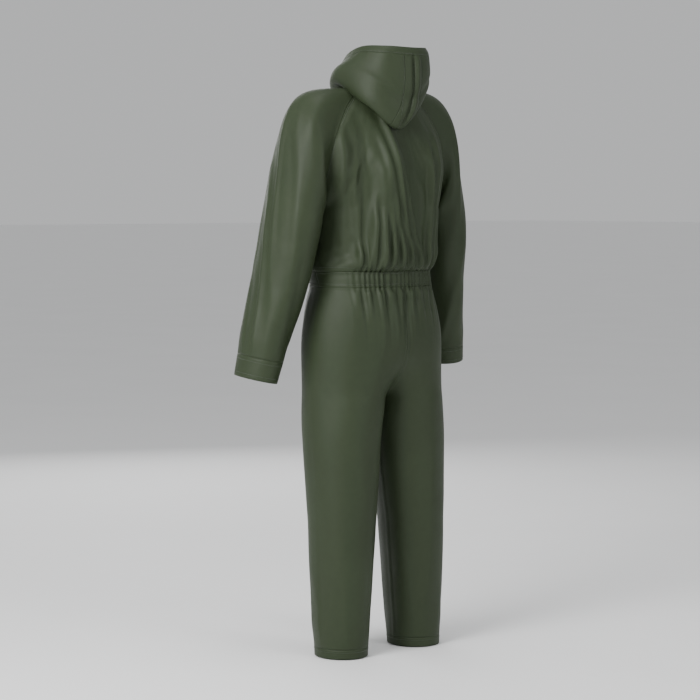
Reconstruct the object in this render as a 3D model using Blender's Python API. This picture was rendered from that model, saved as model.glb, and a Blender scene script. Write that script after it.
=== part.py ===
"""Hooded one-piece waterproof coverall in its worn shape: fabric panels, zip, storm flap and press studs.

Units are metres, +Z is up, the wearer faces -Y and the wearer's left is +X.
Heights below are measured from the leg hems. A root empty lowers everything so that the origin
is the point of the hanger loop, inside the back of the neck, where a hook bears.
"""

import math

import bmesh
import bpy
from mathutils import Matrix, Vector

# ---------------------------------------------------------------- driving dimensions
FABRIC = 0.0022           # wall of a fabric panel
FOLD, CUFF_FOLD = 0.0012, 0.0008    # how much thicker a folded hem is than its panel
STAY_BACK = 0.0016        # how far a panel's edge stays back from a seam line
JOINT_GAP = 0.0015        # half the gap at the cut across a sleeve or a leg that swings

WAIST_LOW, WAIST_HIGH = 1.031, 1.073
CROTCH_Z, RISE_Z = 0.72, 0.87
ARMPIT_Z = 1.246
LEG_HEM, CUFF_HEM_STEP = 0.025, 3.53

FRONT_LOW_Z, FRONT_LOW_Y, FRONT_LEAN = 0.82, -0.148, 0.044    # the straight front line under the zip
PLACKET_HALF = 0.016      # half the width left between the front panels for the zip
FLY_BOTTOM = 0.835
ZIP_LOW, ZIP_HIGH = 0.845, 1.500
FLAP_LOW, FLAP_HIGH = 0.850, 1.458
FLAP_OUT = 0.0130         # the storm flap's inner face, measured out from the front line
FLAP_LEFT, FLAP_RIGHT, FLAP_WALL = 0.041, -0.036, 0.0022
FLAP_CORNER = 0.010
GUSSET_FOOT, GUSSET_TOP, GUSSET_WALL = 0.0004, 0.0100, 0.0014    # the strip stops short of the turning flap
STUD_X = -0.027
STUD_HEIGHTS = (0.885, 1.015, 1.150, 1.290, 1.430)
STUD_HOLE = 0.0030

# A zip part's middle across and out of the front, then its width and thickness
TAPE = (0.0092, -0.0018, 0.0122, 0.0008)
CHAIN = (0.00175, -0.0010, 0.0023, 0.0026)
STOP = (0.0018, -0.0010, 0.0022, 0.0030)
STOP_LENGTH, STOP_RISE = 0.0028, 0.0018
FOOT_STOP = (0.0, -0.0010, 0.0064, 0.0034)
FOOT_STOP_LENGTH, FOOT_STOP_DROP = 0.0036, 0.0022

SLIDER_Z = 1.490
SLIDER_HALF_LENGTH = 0.0070
# The slider's I section: half width and distance into the front of each corner, one half then the other
SLIDER_HALF_SECTION = ((0.0052, 0.0043), (0.0052, 0.0030), (0.0003, 0.0030), (0.0003, -0.0010),
                       (0.0052, -0.0010), (0.0052, -0.0024))
# The arch on the slider: height and distance out, along the outside and back along the inside
ARCH_OUTSIDE = ((0.0046, 0.0020), (0.0046, 0.0058), (0.0033, 0.0066), (-0.0033, 0.0066), (-0.0046, 0.0058),
                (-0.0046, 0.0020))
ARCH_INSIDE = ((-0.0034, 0.0020), (-0.0034, 0.0054), (0.0034, 0.0054), (0.0034, 0.0020))
ARCH_HALF_WIDTH = 0.0011
PULL_OUT = 0.0040         # the pull's hinge line, measured out from the front line
PULL_HALF_WALL = 0.0005
PULL_OUTLINE = ((-0.0034, 0.0006), (0.0034, 0.0006), (0.0034, -0.0100), (0.0026, -0.0260),
                (-0.0026, -0.0260), (-0.0034, -0.0100))
PULL_WINDOW = ((-0.0017, -0.0006), (0.0017, -0.0006), (0.0017, -0.0062), (-0.0017, -0.0062))

# Radius and height of a stud's corners, from the flap's inner face and from the front line
STUD_CAP = ((0, -0.0026), (0.0052, -0.0026), (0.0056, -0.0018), (0.0056, -0.0004), (0.0026, -0.0004),
            (0.0026, 0.0026), (0.0074, 0.0026), (0.0074, 0.0034), (0.0052, 0.0048), (0, 0.0052))
STUD_POST = ((0, 0.0008), (0.0062, 0.0008), (0.0062, 0.0016), (0.0024, 0.0030), (0.0026, 0.0066),
             (0.0014, 0.0082), (0, 0.0082))

LEG_CUT_POINT, LEG_CUT_NORMAL = (0.105, 0.018, 0.867), (0.814, 0.0, -0.581)
SLEEVE_CUT_POINT, SLEEVE_CUT_NORMAL = (0.248, -0.020, 1.3105), (0.891, 0.0, -0.454)

# height, half width, depth at the centre back
TORSO = ((1.07, 0.188, 0.138), (1.15, 0.188, 0.149), (1.246, 0.194, 0.155), (1.35, 0.190, 0.152),
         (1.45, 0.160, 0.131), (1.52, 0.120, 0.105), (1.575, 0.090, 0.086))
# height, half width, depth at the front, depth at the back
HIPS = ((0.72, 0.224, 0.128, 0.136), (0.87, 0.218, 0.146, 0.158), (0.95, 0.207, 0.1425, 0.153),
        (1.031, 0.188, 0.1387, 0.138), (1.09, 0.186, 0.136, 0.140))
# height, centre x, centre y, half width, half depth
LEG = ((0.0, 0.135, 0.030, 0.072, 0.079), (0.37, 0.127, 0.024, 0.090, 0.098),
       (0.60, 0.119, 0.014, 0.106, 0.112), (0.72, 0.112, 0.008, 0.109, 0.128),
       (0.87, 0.110, 0.006, 0.108, 0.130), (1.04, 0.110, 0.006, 0.1, 0.130))
HIP_SQUARENESS = 0.87     # below 1, the hips are squarer than an ellipse
HIP_EASE_LOW, HIP_EASE_HIGH = 0.56, 0.90    # the outside of a leg turns into the hip between these heights

# Heights of the rows down a leg, and between the fly and the waistband
LEG_ROWS = (0.14, 0.26, 0.38, 0.50, 0.60, 0.67, 0.71)
SEAT_ROWS = (0.92, 0.975)

# From the armpit up the back, over the shoulder and down the front, on the wearer's left.
RAGLAN_LOOP = ((0.194, -0.018, 1.246), (0.207, 0.045, 1.318), (0.196, 0.074, 1.425), (0.140, 0.064, 1.525),
               (0.0786, 0.044, 1.576), (0.096, -0.012, 1.567), (0.083, -0.066, 1.549),
               (0.140, -0.090, 1.490), (0.190, -0.100, 1.395), (0.206, -0.076, 1.300))
SHOULDER_LOOP = ((0.199, -0.018, 1.237), (0.222, 0.056, 1.298), (0.236, 0.082, 1.395), (0.238, 0.066, 1.480),
                 (0.220, 0.034, 1.531), (0.222, -0.012, 1.541), (0.220, -0.056, 1.524),
                 (0.232, -0.090, 1.462), (0.230, -0.110, 1.375), (0.220, -0.086, 1.286))
LOOP_ANGLES = (0, 45, 90, 130, 160, 180, 200, 230, 270, 315)
NECK_STEP = 4                                          # where the neckline meets the raglan seam
BACK_HEIGHTS = ((0, 1.246), (1, 1.32), (2, 1.42), (3, 1.51), (4, 1.572))
FRONT_HEIGHTS = ((0, 1.246), (1, 1.30), (2, 1.38), (3, 1.46), (4, 1.522))

# A ring of the sleeve: centre, direction of the sleeve, half width, half depth
SLEEVE_TOP = ((0.248, -0.020, 1.3105), (0.891, 0.0, -0.454), 0.0948, 0.105)
SLEEVE_RINGS = (SLEEVE_TOP, ((0.268, -0.030, 1.195), (0.25, -0.10, -0.96), 0.066, 0.102),
                ((0.291, -0.053, 1.030), (0.14, -0.12, -0.98), 0.062, 0.095),
                ((0.312, -0.068, 0.900), (0.16, -0.12, -0.98), 0.059, 0.083))
CUFF_RINGS = {1: ((0.335, -0.083, 0.768), (0.17, -0.11, -0.98), 0.054, 0.071),
              -1: ((0.335, -0.083, 0.792), (0.17, -0.11, -0.98), 0.054, 0.071)}

# The hood, worn down, from the front centre round the wearer's left to the back, ring by ring from
# the top edge over the outside, under the hanging crown and in to the neckline.
HOOD = (
    ((0.024, -0.070, 1.618), (0.074, -0.028, 1.664), (0.098, 0.068, 1.690), (0.074, 0.146, 1.688), (0, 0.172, 1.680)),
    ((0.024, -0.078, 1.602), (0.081, -0.034, 1.648), (0.106, 0.069, 1.673), (0.080, 0.153, 1.669), (0, 0.180, 1.659)),
    ((0.024, -0.104, 1.572), (0.096, -0.052, 1.622), (0.124, 0.040, 1.640), (0.095, 0.142, 1.612), (0, 0.182, 1.585)),
    ((0.024, -0.118, 1.553), (0.101, -0.058, 1.602), (0.127, 0.020, 1.615), (0.094, 0.130, 1.565), (0, 0.168, 1.510)),
    ((0.024, -0.123, 1.543), (0.095, -0.060, 1.586), (0.120, 0.010, 1.597), (0.088, 0.114, 1.530), (0, 0.146, 1.464)),
    ((0.024, -0.121, 1.537), (0.086, -0.062, 1.574), (0.104, 0.000, 1.590), (0.078, 0.096, 1.548), (0, 0.128, 1.495)),
    ((0.022, -0.118, 1.530), (0.078, -0.066, 1.558), (0.093, -0.012, 1.578), (0.076, 0.047, 1.588), (0, 0.089, 1.584)))
HOOD_TOP, HOOD_SEAM, HOOD_NECK = 0, 1, 6
CENTRE_STRIP = 0.030      # half width of the strip down the middle of the hood

# The neck tape inside the hood's foot: rise above the neckline and distance in from it, row by row
NECK_TAPE_ROWS = ((0.002, 0.0065), (0.010, 0.0060), (0.018, 0.0050))
NECK_TAPE_WALL = 0.0012
NECK_MIDDLE_Y = -0.010

# The elastic inside the back of the waistband: inset from the band, and how far short of its seams it ends
ELASTIC_GAP, ELASTIC_SHORT, ELASTIC_DROP, ELASTIC_WALL = 0.0015, 0.012, 0.003, 0.0015

LOOP_Y, LOOP_LOW, LOOP_RISE, LOOP_HALF = 0.068, 1.578, 0.022, 0.032
LOOP_WALL, LOOP_WIDTH = 0.0014, 0.008
HANGER = Vector((0.0, LOOP_Y, LOOP_LOW + LOOP_RISE - LOOP_WALL / 2))

# A panel faces away from the upright core of the garment between these depths
CORE_FRONT_Y, CORE_BACK_Y, CORE_HALF_WIDTH = -0.04, 0.06, 0.13

FINISHES = {"fabric": ((0.045, 0.062, 0.034), 0.42, 0.0), "elastic": ((0.55, 0.55, 0.52), 0.8, 0.0),
            "webbing": ((0.03, 0.035, 0.03), 0.8, 0.0), "zip_tape": ((0.03, 0.04, 0.026), 0.8, 0.0),
            "zip_plastic": ((0.012, 0.016, 0.011), 0.4, 0.0), "zip_metal": ((0.05, 0.055, 0.045), 0.4, 1.0),
            "stud_plastic": ((0.035, 0.048, 0.028), 0.35, 0.0)}


# ---------------------------------------------------------------- curves
def cubic(a, b, c, d, t):
    """Catmull-Rom between b and c."""
    return 0.5 * (2 * b + (c - a) * t + (2 * a - 5 * b + 4 * c - d) * t * t + (3 * b - 3 * c + d - a) * t ** 3)


def through(values, s):
    """The curve through the values, at s from 0 to their count less one."""
    last = len(values) - 1
    i = max(0, min(last - 1, math.floor(s)))
    before = values[i - 1] if i > 0 else 2 * values[0] - values[1]
    after = values[i + 2] if i + 2 <= last else 2 * values[last] - values[last - 1]
    return cubic(before, values[i], values[i + 1], after, s - i)


def station(table, z):
    """A table's row at height z; its first column is the height."""
    heights = [row[0] for row in table]
    i = max(0, min(len(table) - 2, sum(h <= z for h in heights) - 1))
    s = i + (z - heights[i]) / (heights[i + 1] - heights[i])
    return [through([row[k] for row in table], s) for k in range(1, len(table[0]))]


def around(loop, q):
    """A point of a closed loop of control points, q steps from its first."""
    i = math.floor(q)
    return cubic(*(Vector(loop[(i + k) % len(loop)]) for k in (-1, 0, 1, 2)), q - i)


def steps(low, high, count):
    return [low + (high - low) * i / (count - 1) for i in range(count)]


def trimmed(points, first, last, count):
    """The polyline less a length at each end, as evenly spaced points."""
    lengths = [0.0]
    for a, b in zip(points, points[1:]):
        lengths.append(lengths[-1] + (b - a).length)
    found = []
    i = 0
    for target in steps(first, lengths[-1] - last, count):
        while i < len(points) - 2 and lengths[i + 1] < target:
            i += 1
        found.append(points[i].lerp(points[i + 1], (target - lengths[i]) / (lengths[i + 1] - lengths[i])))
    return found


def eased(share):
    """From 0 to 1 with level ends."""
    t = max(0.0, min(1.0, share))
    return t * t * (3 - 2 * t)


def mirrored(point, side):
    return Vector((side * point.x, point.y, point.z))


def front_y(z):
    return FRONT_LOW_Y + FRONT_LEAN * (z - FRONT_LOW_Z)


# ---------------------------------------------------------------- upper body surface
def torso_row(q, back, first, count):
    """One row of a front or back half panel, from the centre line to the side or raglan seam."""
    if q < 0:
        z = ARMPIT_Z + q * (ARMPIT_Z - WAIST_HIGH)
        edge = Vector((station(TORSO, z)[0], -0.018, z))
        ease = 0.5
    else:
        edge = around(RAGLAN_LOOP, q if back else -q)
        z = station(BACK_HEIGHTS if back else FRONT_HEIGHTS, q)[0]
        ease = 0.5 + 0.3 * min(1.0, q)
    centre_y = station(TORSO, z)[1] if back else front_y(z)
    points = []
    for k in steps(0, 1, 121):
        u = math.sin(math.pi / 2 * k)
        y = edge.y + (centre_y - edge.y) * max(0.0, 1 - u ** 2.3) ** ease
        points.append(Vector((edge.x * u, y, edge.z + (z - edge.z) * (1 - u * u))))
    return trimmed(points, first, STAY_BACK, count)


def panel_steps():
    """Positions up a panel, from the waistband to the neckline."""
    gap = STAY_BACK / (ARMPIT_Z - WAIST_HIGH)
    return steps(-1 + gap, -0.12, 4) + steps(0.02, NECK_STEP - 0.04, 10)


def build_bodice(body):
    halves = [torso_row(q, True, 0.0, 9) for q in panel_steps()]
    rows = [[mirrored(p, -1) for p in reversed(half[1:])] + half for half in halves]
    shell("back_panel", rows, False, body)
    for side, label in ((1, "left"), (-1, "right")):
        rows = [[mirrored(p, side) for p in torso_row(q, False, PLACKET_HALF, 8)] for q in panel_steps()]
        shell(f"front_panel_{label}", rows, False, body)


# ---------------------------------------------------------------- sleeves
def loop_angle(q):
    low = LOOP_ANGLES[math.floor(q) % len(LOOP_ANGLES)]
    high = [*LOOP_ANGLES[1:], 360][math.floor(q) % len(LOOP_ANGLES)]
    return math.radians(low + (high - low) * (q - math.floor(q)))


def ring_point(ring, q):
    """A point of a sleeve ring, by the same steps as the loops round the shoulder."""
    centre, along, half, deep = ring
    along = Vector(along).normalized()
    rear = Vector((0, 1, 0))
    rear = (rear - along * rear.dot(along)).normalized()
    outer = rear.cross(along).normalized()
    outer = outer if outer.x > 0 else -outer
    angle = loop_angle(q)
    return Vector(centre) - outer * half * math.cos(angle) + rear * deep * math.sin(angle)


def sleeve_point(side, s, q):
    rings = (*SLEEVE_RINGS, CUFF_RINGS[side])
    return mirrored(through([ring_point(ring, q) for ring in rings], s), side)


def cap_point(side, s, q):
    """A point of the raglan cap: s 0 on the raglan seam, 1 over the shoulder, 2 at the sleeve's cut."""
    loops = [around(RAGLAN_LOOP, q), around(SHOULDER_LOOP, q), ring_point(SLEEVE_TOP, q), sleeve_point(1, 0.3, q)]
    return mirrored(through(loops, s), side)


def build_sleeves(bodies):
    turns = steps(0, len(LOOP_ANGLES), 25)[:-1]
    for side, label in ((1, "left"), (-1, "right")):
        columns = [trimmed([cap_point(side, s, q) for s in steps(0, 2.2, 60)], STAY_BACK, 0, 7) for q in turns]
        cap = shell(f"raglan_cap_{label}", list(zip(*columns)), True, bodies["torso"])
        cut(cap, SLEEVE_CUT_POINT, SLEEVE_CUT_NORMAL, side, keep_beyond=False)
        lengths = [-0.12, 0.15, *steps(0.45, CUFF_HEM_STEP - 0.012, 8)]
        arm = bodies[f"sleeve_{label}"]
        rows = [[sleeve_point(side, s, q) for q in turns] for s in lengths]
        sleeve = shell(f"sleeve_{label}", rows, True, arm)
        cut(sleeve, SLEEVE_CUT_POINT, SLEEVE_CUT_NORMAL, side, keep_beyond=True)
        rows = [[sleeve_point(side, s, q) for q in turns] for s in steps(CUFF_HEM_STEP + 0.012, 4, 3)]
        shell(f"sleeve_hem_{label}", rows, True, arm, wall=FABRIC + CUFF_FOLD)


# ---------------------------------------------------------------- waist
def waist_half(z, shrink):
    """Half of the waist, from the front centre by the wearer's left to the back centre."""
    half, front, back = station(HIPS, z)
    points = []
    for k in steps(0, math.pi, 181):
        deep = (front if k < math.pi / 2 else back) - shrink
        points.append(Vector(((half - shrink) * math.sin(k) ** HIP_SQUARENESS, -deep * math.cos(k), z)))
    return points


def waist_back(z, shrink):
    """The back of the waist, from the wearer's left round to the right."""
    left = waist_half(z, shrink)[90:]
    return left + [mirrored(p, -1) for p in reversed(left[:-1])]


def build_waist(body):
    heights = steps(WAIST_LOW + STAY_BACK, WAIST_HIGH - STAY_BACK, 3)
    for side, label in ((1, "left"), (-1, "right")):
        rows = []
        for z in heights:
            quarter = waist_half(z, 0)[:91]
            rows.append([mirrored(p, side) for p in trimmed(quarter, PLACKET_HALF, STAY_BACK, 9)])
        shell(f"waistband_front_{label}", rows, False, body)
    back = [trimmed(waist_back(z, 0), STAY_BACK, STAY_BACK, 21) for z in heights]
    shell("waistband_back", back, False, body)
    inside = []
    for z in steps(heights[0] + ELASTIC_DROP, heights[-1] - ELASTIC_DROP, 3):
        inside.append(trimmed(waist_back(z, FABRIC + ELASTIC_GAP), ELASTIC_SHORT, ELASTIC_SHORT, 21))
    shell("waist_elastic", inside, False, body, finish="elastic", wall=ELASTIC_WALL)


# ---------------------------------------------------------------- trousers
def trouser_row(z, first, last, count, closed):
    """The outline of the left trouser leg at height z, from the inside front round the outside to the inside back."""
    x, y, half, deep = station(LEG, z)
    wide, front, back = station(HIPS, z)
    inner = 0.0 if z <= CROTCH_Z else 1.0
    if CROTCH_Z < z < RISE_Z:
        inner = math.sqrt(1 - ((RISE_Z - z) / (RISE_Z - CROTCH_Z)) ** 2)
    outer = eased((z - HIP_EASE_LOW) / (HIP_EASE_HIGH - HIP_EASE_LOW))
    points = []
    for k in steps(0, 1, 181):
        spread = max(0.0, math.sin(math.pi * k)) ** HIP_SQUARENESS
        turn = math.pi * (spread if k < 0.5 else 2 - spread)
        ring = Vector((x - half * math.cos(turn), y - deep * math.sin(turn), z))
        reach = front if k < 0.5 else back
        hip = Vector((wide * spread, -reach * math.cos(math.pi * k), z))
        points.append(ring.lerp(hip, inner + (outer - inner) * spread))
    if closed:
        return trimmed(points, 0, 0, count + 1)[:-1]
    return trimmed(points, first, last, count)


def build_trousers(bodies):
    count = 24
    rise = [RISE_Z - (RISE_Z - CROTCH_Z) * math.cos(math.pi / 2 * k / 6) for k in range(1, 7)]
    high = [z for z in rise if z < FLY_BOTTOM] + [FLY_BOTTOM]
    fly = [FLY_BOTTOM + 0.001, *(z for z in rise if z > FLY_BOTTOM + 0.01), *SEAT_ROWS, WAIST_LOW - STAY_BACK]
    low = [LEG_HEM + STAY_BACK, *LEG_ROWS]
    for side, label in ((1, "left"), (-1, "right")):
        rows = [trouser_row(z, STAY_BACK, STAY_BACK, count, False) for z in high]
        rows += [trouser_row(z, PLACKET_HALF, STAY_BACK, count, False) for z in fly]
        rows = [[mirrored(p, side) for p in row] for row in rows]
        hip = shell(f"hip_{label}", rows, False, bodies["torso"])
        cut(hip, LEG_CUT_POINT, LEG_CUT_NORMAL, side, keep_beyond=False)
        rows = [trouser_row(z, 0, 0, count, True) for z in (*low, *high, *fly)]
        rows = [[mirrored(p, side) for p in row] for row in rows]
        leg = shell(f"leg_{label}", rows, True, bodies[f"leg_{label}"])
        cut(leg, LEG_CUT_POINT, LEG_CUT_NORMAL, side, keep_beyond=True)
        loops = [[mirrored(p, side) for p in trouser_row(z, 0, 0, 28, True)] for z in (0.0, LEG_HEM - STAY_BACK)]
        band(f"leg_hem_{label}", loops, bodies[f"leg_{label}"])


# ---------------------------------------------------------------- hood and neck
def hood_half(level):
    """One level of the hood, from the front edge round the left to the back centre."""
    controls = [Vector(p) for p in HOOD[level]]
    beyond = [*controls, mirrored(controls[-2], -1)]
    return [through(beyond, s) for s in steps(0, len(controls) - 1, 81)]


def hood_levels(first, last, rows, inset=0.0):
    """Half outlines of the hood between two levels, evenly spaced down each column."""
    halves = [hood_half(level) for level in range(first, last + 1)]
    columns = []
    for column in zip(*halves):
        dense = [through(list(column), s) for s in steps(0, len(column) - 1, 60)]
        columns.append(trimmed(dense, inset, STAY_BACK, rows))
    return [list(row) for row in zip(*columns)]


def build_hood(body):
    for side, label in ((1, "left"), (-1, "right")):
        rows = [trimmed(row, 0, CENTRE_STRIP + STAY_BACK, 13) for row in hood_levels(HOOD_SEAM, HOOD_NECK, 15, STAY_BACK)]
        shell(f"hood_side_{label}", [[mirrored(p, side) for p in row] for row in rows], False, body)
    strip = []
    for row in hood_levels(HOOD_SEAM, HOOD_NECK, 15, STAY_BACK):
        total = sum((b - a).length for a, b in zip(row, row[1:]))
        half = trimmed(row, total - CENTRE_STRIP + STAY_BACK, 0, 4)
        strip.append(half + [mirrored(p, -1) for p in reversed(half[:-1])])
    shell("hood_centre", strip, False, body)
    hem = []
    for row in hood_levels(HOOD_TOP, HOOD_SEAM, 3):
        half = trimmed(row, 0, 0, 16)
        hem.append(half + [mirrored(p, -1) for p in reversed(half[:-1])])
    shell("hood_hem", hem, False, body, wall=FABRIC + FOLD)


def build_neck(body):
    rows = []
    for rise, inset in NECK_TAPE_ROWS:
        half = []
        for p in trimmed(hood_half(HOOD_NECK), 0.004, 0, 13):
            inward = Vector((-p.x, NECK_MIDDLE_Y - p.y, 0)).normalized()
            half.append(p + inward * inset + Vector((0, 0, rise)))
        rows.append(half + [mirrored(p, -1) for p in reversed(half[:-1])])
    shell("neck_band", rows, False, body, finish="webbing", wall=NECK_TAPE_WALL)


def build_hanger(body):
    """The hanger loop is half a flat ring of tape whose ends meet the neck tape."""
    bm = bmesh.new()
    rings = []
    for angle in steps(0, math.pi, 13):
        ring = []
        for wall, across in ((-1, -1), (1, -1), (1, 1), (-1, 1)):
            x = (LOOP_HALF + wall * LOOP_WALL / 2) * math.cos(angle)
            z = LOOP_LOW + (LOOP_RISE + wall * LOOP_WALL / 2) * math.sin(angle)
            ring.append(bm.verts.new((x, LOOP_Y + across * LOOP_WIDTH / 2, z)))
        rings.append(ring)
    for a, b in zip(rings, rings[1:]):
        join_loops(bm, a, b)
    bm.faces.new(rings[0])
    bm.faces.new(rings[-1])
    add("hanger_loop", finished(bm, "hanger_loop"), body, "webbing")


# ---------------------------------------------------------------- front fastening
def front_frame(z, x=0.0, out=0.0):
    """A frame on the straight front line: +X across, -Y out of the front, +Z up the zip."""
    up = Vector((0, FRONT_LEAN, 1)).normalized()
    outward = Vector((0, -1, FRONT_LEAN)).normalized()
    place = Vector((x, front_y(z), z)) + outward * out
    turn = Matrix(((1, -outward.x, up.x), (0, -outward.y, up.y), (0, -outward.z, up.z)))
    return Matrix.Translation(place) @ turn.to_4x4()


def line_length(low, high):
    return (high - low) * math.sqrt(1 + FRONT_LEAN ** 2)


def zip_bar(name, side, shape, low, high, body, finish):
    """A bar of the zip, from its middle and section, between two distances up the front line."""
    across, out, width, depth = shape
    middle = (side * across, -out, (low + high) / 2)
    box(name, front_frame(ZIP_LOW), middle, (width, depth, high - low), body, finish)


def build_zip(bodies):
    torso = bodies["torso"]
    length = line_length(ZIP_LOW, ZIP_HIGH)
    top = length + STOP_RISE
    foot = -FOOT_STOP_DROP
    for side, label in ((1, "left"), (-1, "right")):
        zip_bar(f"zip_tape_{label}", side, TAPE, 0, length, torso, "zip_tape")
        zip_bar(f"zip_chain_{label}", side, CHAIN, 0, length, torso, "zip_plastic")
        zip_bar(f"zip_stop_{label}", side, STOP, top - STOP_LENGTH / 2, top + STOP_LENGTH / 2, torso, "zip_metal")
    half = FOOT_STOP_LENGTH / 2
    zip_bar("zip_stop_bottom", 1, FOOT_STOP, foot - half, foot + half, torso, "zip_metal")
    build_slider(bodies["slider"])
    build_pull(bodies["pull"])


def prism(outlines):
    """A closed solid between two outlines of as many corners."""
    bm = bmesh.new()
    near, far = ([bm.verts.new(p) for p in outline] for outline in outlines)
    join_loops(bm, near, far)
    bm.faces.new(near)
    bm.faces.new(far)
    return bm


def build_slider(body):
    """The slider is an I section whose web runs between the two halves of the chain, under an arch for the pull."""
    frame = front_frame(SLIDER_Z)
    section = [*SLIDER_HALF_SECTION, *((-x, y) for x, y in reversed(SLIDER_HALF_SECTION))]
    ends = [[(x, y, z) for x, y in section] for z in (-SLIDER_HALF_LENGTH, SLIDER_HALF_LENGTH)]
    slider = add("zip_slider", finished(prism(ends), "zip_slider", smooth=False), body, "zip_metal", frame)
    sides = [[(x, -out, z) for z, out in (*ARCH_OUTSIDE, *ARCH_INSIDE)] for x in (-ARCH_HALF_WIDTH, ARCH_HALF_WIDTH)]
    arch = helper("zip_slider_arch", finished(prism(sides), "arch", smooth=False), body, frame)
    boolean(slider, arch, "UNION")


def build_pull(body):
    """A plate with a window round the arch; its top bar lies inside the arch, on the hinge line."""
    bm = bmesh.new()
    layers = []
    for y in (-PULL_HALF_WALL, PULL_HALF_WALL):
        layers.append([[bm.verts.new((x, y, z)) for x, z in line] for line in (PULL_OUTLINE, PULL_WINDOW)])
    for rim, hole in layers:
        bm.faces.new((rim[0], rim[1], hole[1], hole[0]))
        bm.faces.new((rim[1], rim[2], hole[2], hole[1]))
        bm.faces.new((rim[2], rim[3], rim[4], rim[5], hole[3], hole[2]))
        bm.faces.new((rim[5], rim[0], hole[0], hole[3]))
    for near, far in zip(*layers):
        join_loops(bm, near, far)
    frame = front_frame(SLIDER_Z, out=PULL_OUT)
    add("zip_pull", finished(bm, "zip_pull", smooth=False), body, "zip_metal", frame)


def build_flap(body):
    """The storm flap, sewn along the wearer's left, with a hole for each press stud."""
    frame = front_frame(FLAP_LOW, out=FLAP_OUT)
    length = line_length(FLAP_LOW, FLAP_HIGH)
    outline = [(FLAP_LEFT, 0), (FLAP_LEFT, length), (FLAP_RIGHT + FLAP_CORNER, length),
               (FLAP_RIGHT, length - FLAP_CORNER), (FLAP_RIGHT, FLAP_CORNER), (FLAP_RIGHT + FLAP_CORNER, 0)]
    faces = [[(x, y, z) for x, z in outline] for y in (0, -FLAP_WALL)]
    flap = add("storm_flap", finished(prism(faces), "storm_flap", smooth=False), body, "fabric", frame)
    bm = bmesh.new()
    across = Matrix.Rotation(math.pi / 2, 4, "X")
    for z in STUD_HEIGHTS:
        place = Matrix.Translation((STUD_X, -FLAP_WALL / 2, line_length(FLAP_LOW, z))) @ across
        bmesh.ops.create_cone(bm, cap_ends=True, segments=12, radius1=STUD_HOLE, radius2=STUD_HOLE, depth=0.02,
                              matrix=place)
    holes = helper("stud_holes", finished(bm, "stud_holes"), body, frame)
    boolean(flap, holes, "DIFFERENCE")


def build_gusset(body):
    """The folded strip that joins the flap's sewn edge to the front."""
    edge = FLAP_LEFT + GUSSET_WALL
    section = ((FLAP_LEFT, GUSSET_FOOT), (edge, GUSSET_FOOT), (edge, GUSSET_TOP), (FLAP_LEFT, GUSSET_TOP))
    ends = [[(x, -out, z) for x, out in section] for z in (0, line_length(FLAP_LOW, FLAP_HIGH))]
    add("flap_gusset", finished(prism(ends), "flap_gusset", smooth=False), body, "fabric", front_frame(FLAP_LOW))


def build_studs(bodies):
    for index, z in enumerate(STUD_HEIGHTS, 1):
        turned(f"stud_cap_{index}", STUD_CAP, front_frame(z, STUD_X, FLAP_OUT), bodies["flap"], "stud_plastic")
        turned(f"stud_post_{index}", STUD_POST, front_frame(z, STUD_X), bodies["torso"], "stud_plastic")


# ---------------------------------------------------------------- object building
def material(name):
    found = bpy.data.materials.get(name)
    if found:
        return found
    colour, roughness, metallic = FINISHES[name]
    made = bpy.data.materials.new(name)
    made.use_nodes = True
    shader = made.node_tree.nodes["Principled BSDF"]
    shader.inputs["Base Color"].default_value = (*colour, 1)
    shader.inputs["Roughness"].default_value = roughness
    shader.inputs["Metallic"].default_value = metallic
    made.diffuse_color = (*colour, 1)
    return made


def add(name, mesh, body, finish="fabric", frame=None):
    """Links an object whose mesh, or whose frame, is given in the garment's own coordinates."""
    obj = bpy.data.objects.new(name, mesh)
    bpy.context.scene.collection.objects.link(obj)
    mesh.materials.append(material(finish))
    obj.parent = body
    obj.matrix_local = Matrix.Translation(-body.location) @ (frame or Matrix.Identity(4))
    return obj


def helper(name, mesh, body, frame):
    """A Boolean operand, kept out of the render; its frame is in the garment's own coordinates."""
    obj = bpy.data.objects.new(name, mesh)
    bpy.context.scene.collection.objects.link(obj)
    obj.parent = body
    obj.matrix_local = Matrix.Translation(-body.location) @ frame
    obj.hide_render = True
    obj.display_type = "WIRE"
    return obj


def boolean(obj, operand, operation):
    change = obj.modifiers.new(operation.lower(), "BOOLEAN")
    change.operation = operation
    change.object = operand
    change.solver = "EXACT"


def join_loops(bm, a, b):
    """Faces between two closed loops of as many vertices."""
    count = len(a)
    for k in range(count):
        j = (k + 1) % count
        bm.faces.new((a[k], a[j], b[j], b[k]))


def finished(bm, name, smooth=True):
    bmesh.ops.recalc_face_normals(bm, faces=bm.faces)
    mesh = bpy.data.meshes.new(name)
    bm.to_mesh(mesh)
    bm.free()
    if smooth:
        mesh.shade_smooth()
        mesh.set_sharp_from_angle(angle=math.radians(40))
    return mesh


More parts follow.
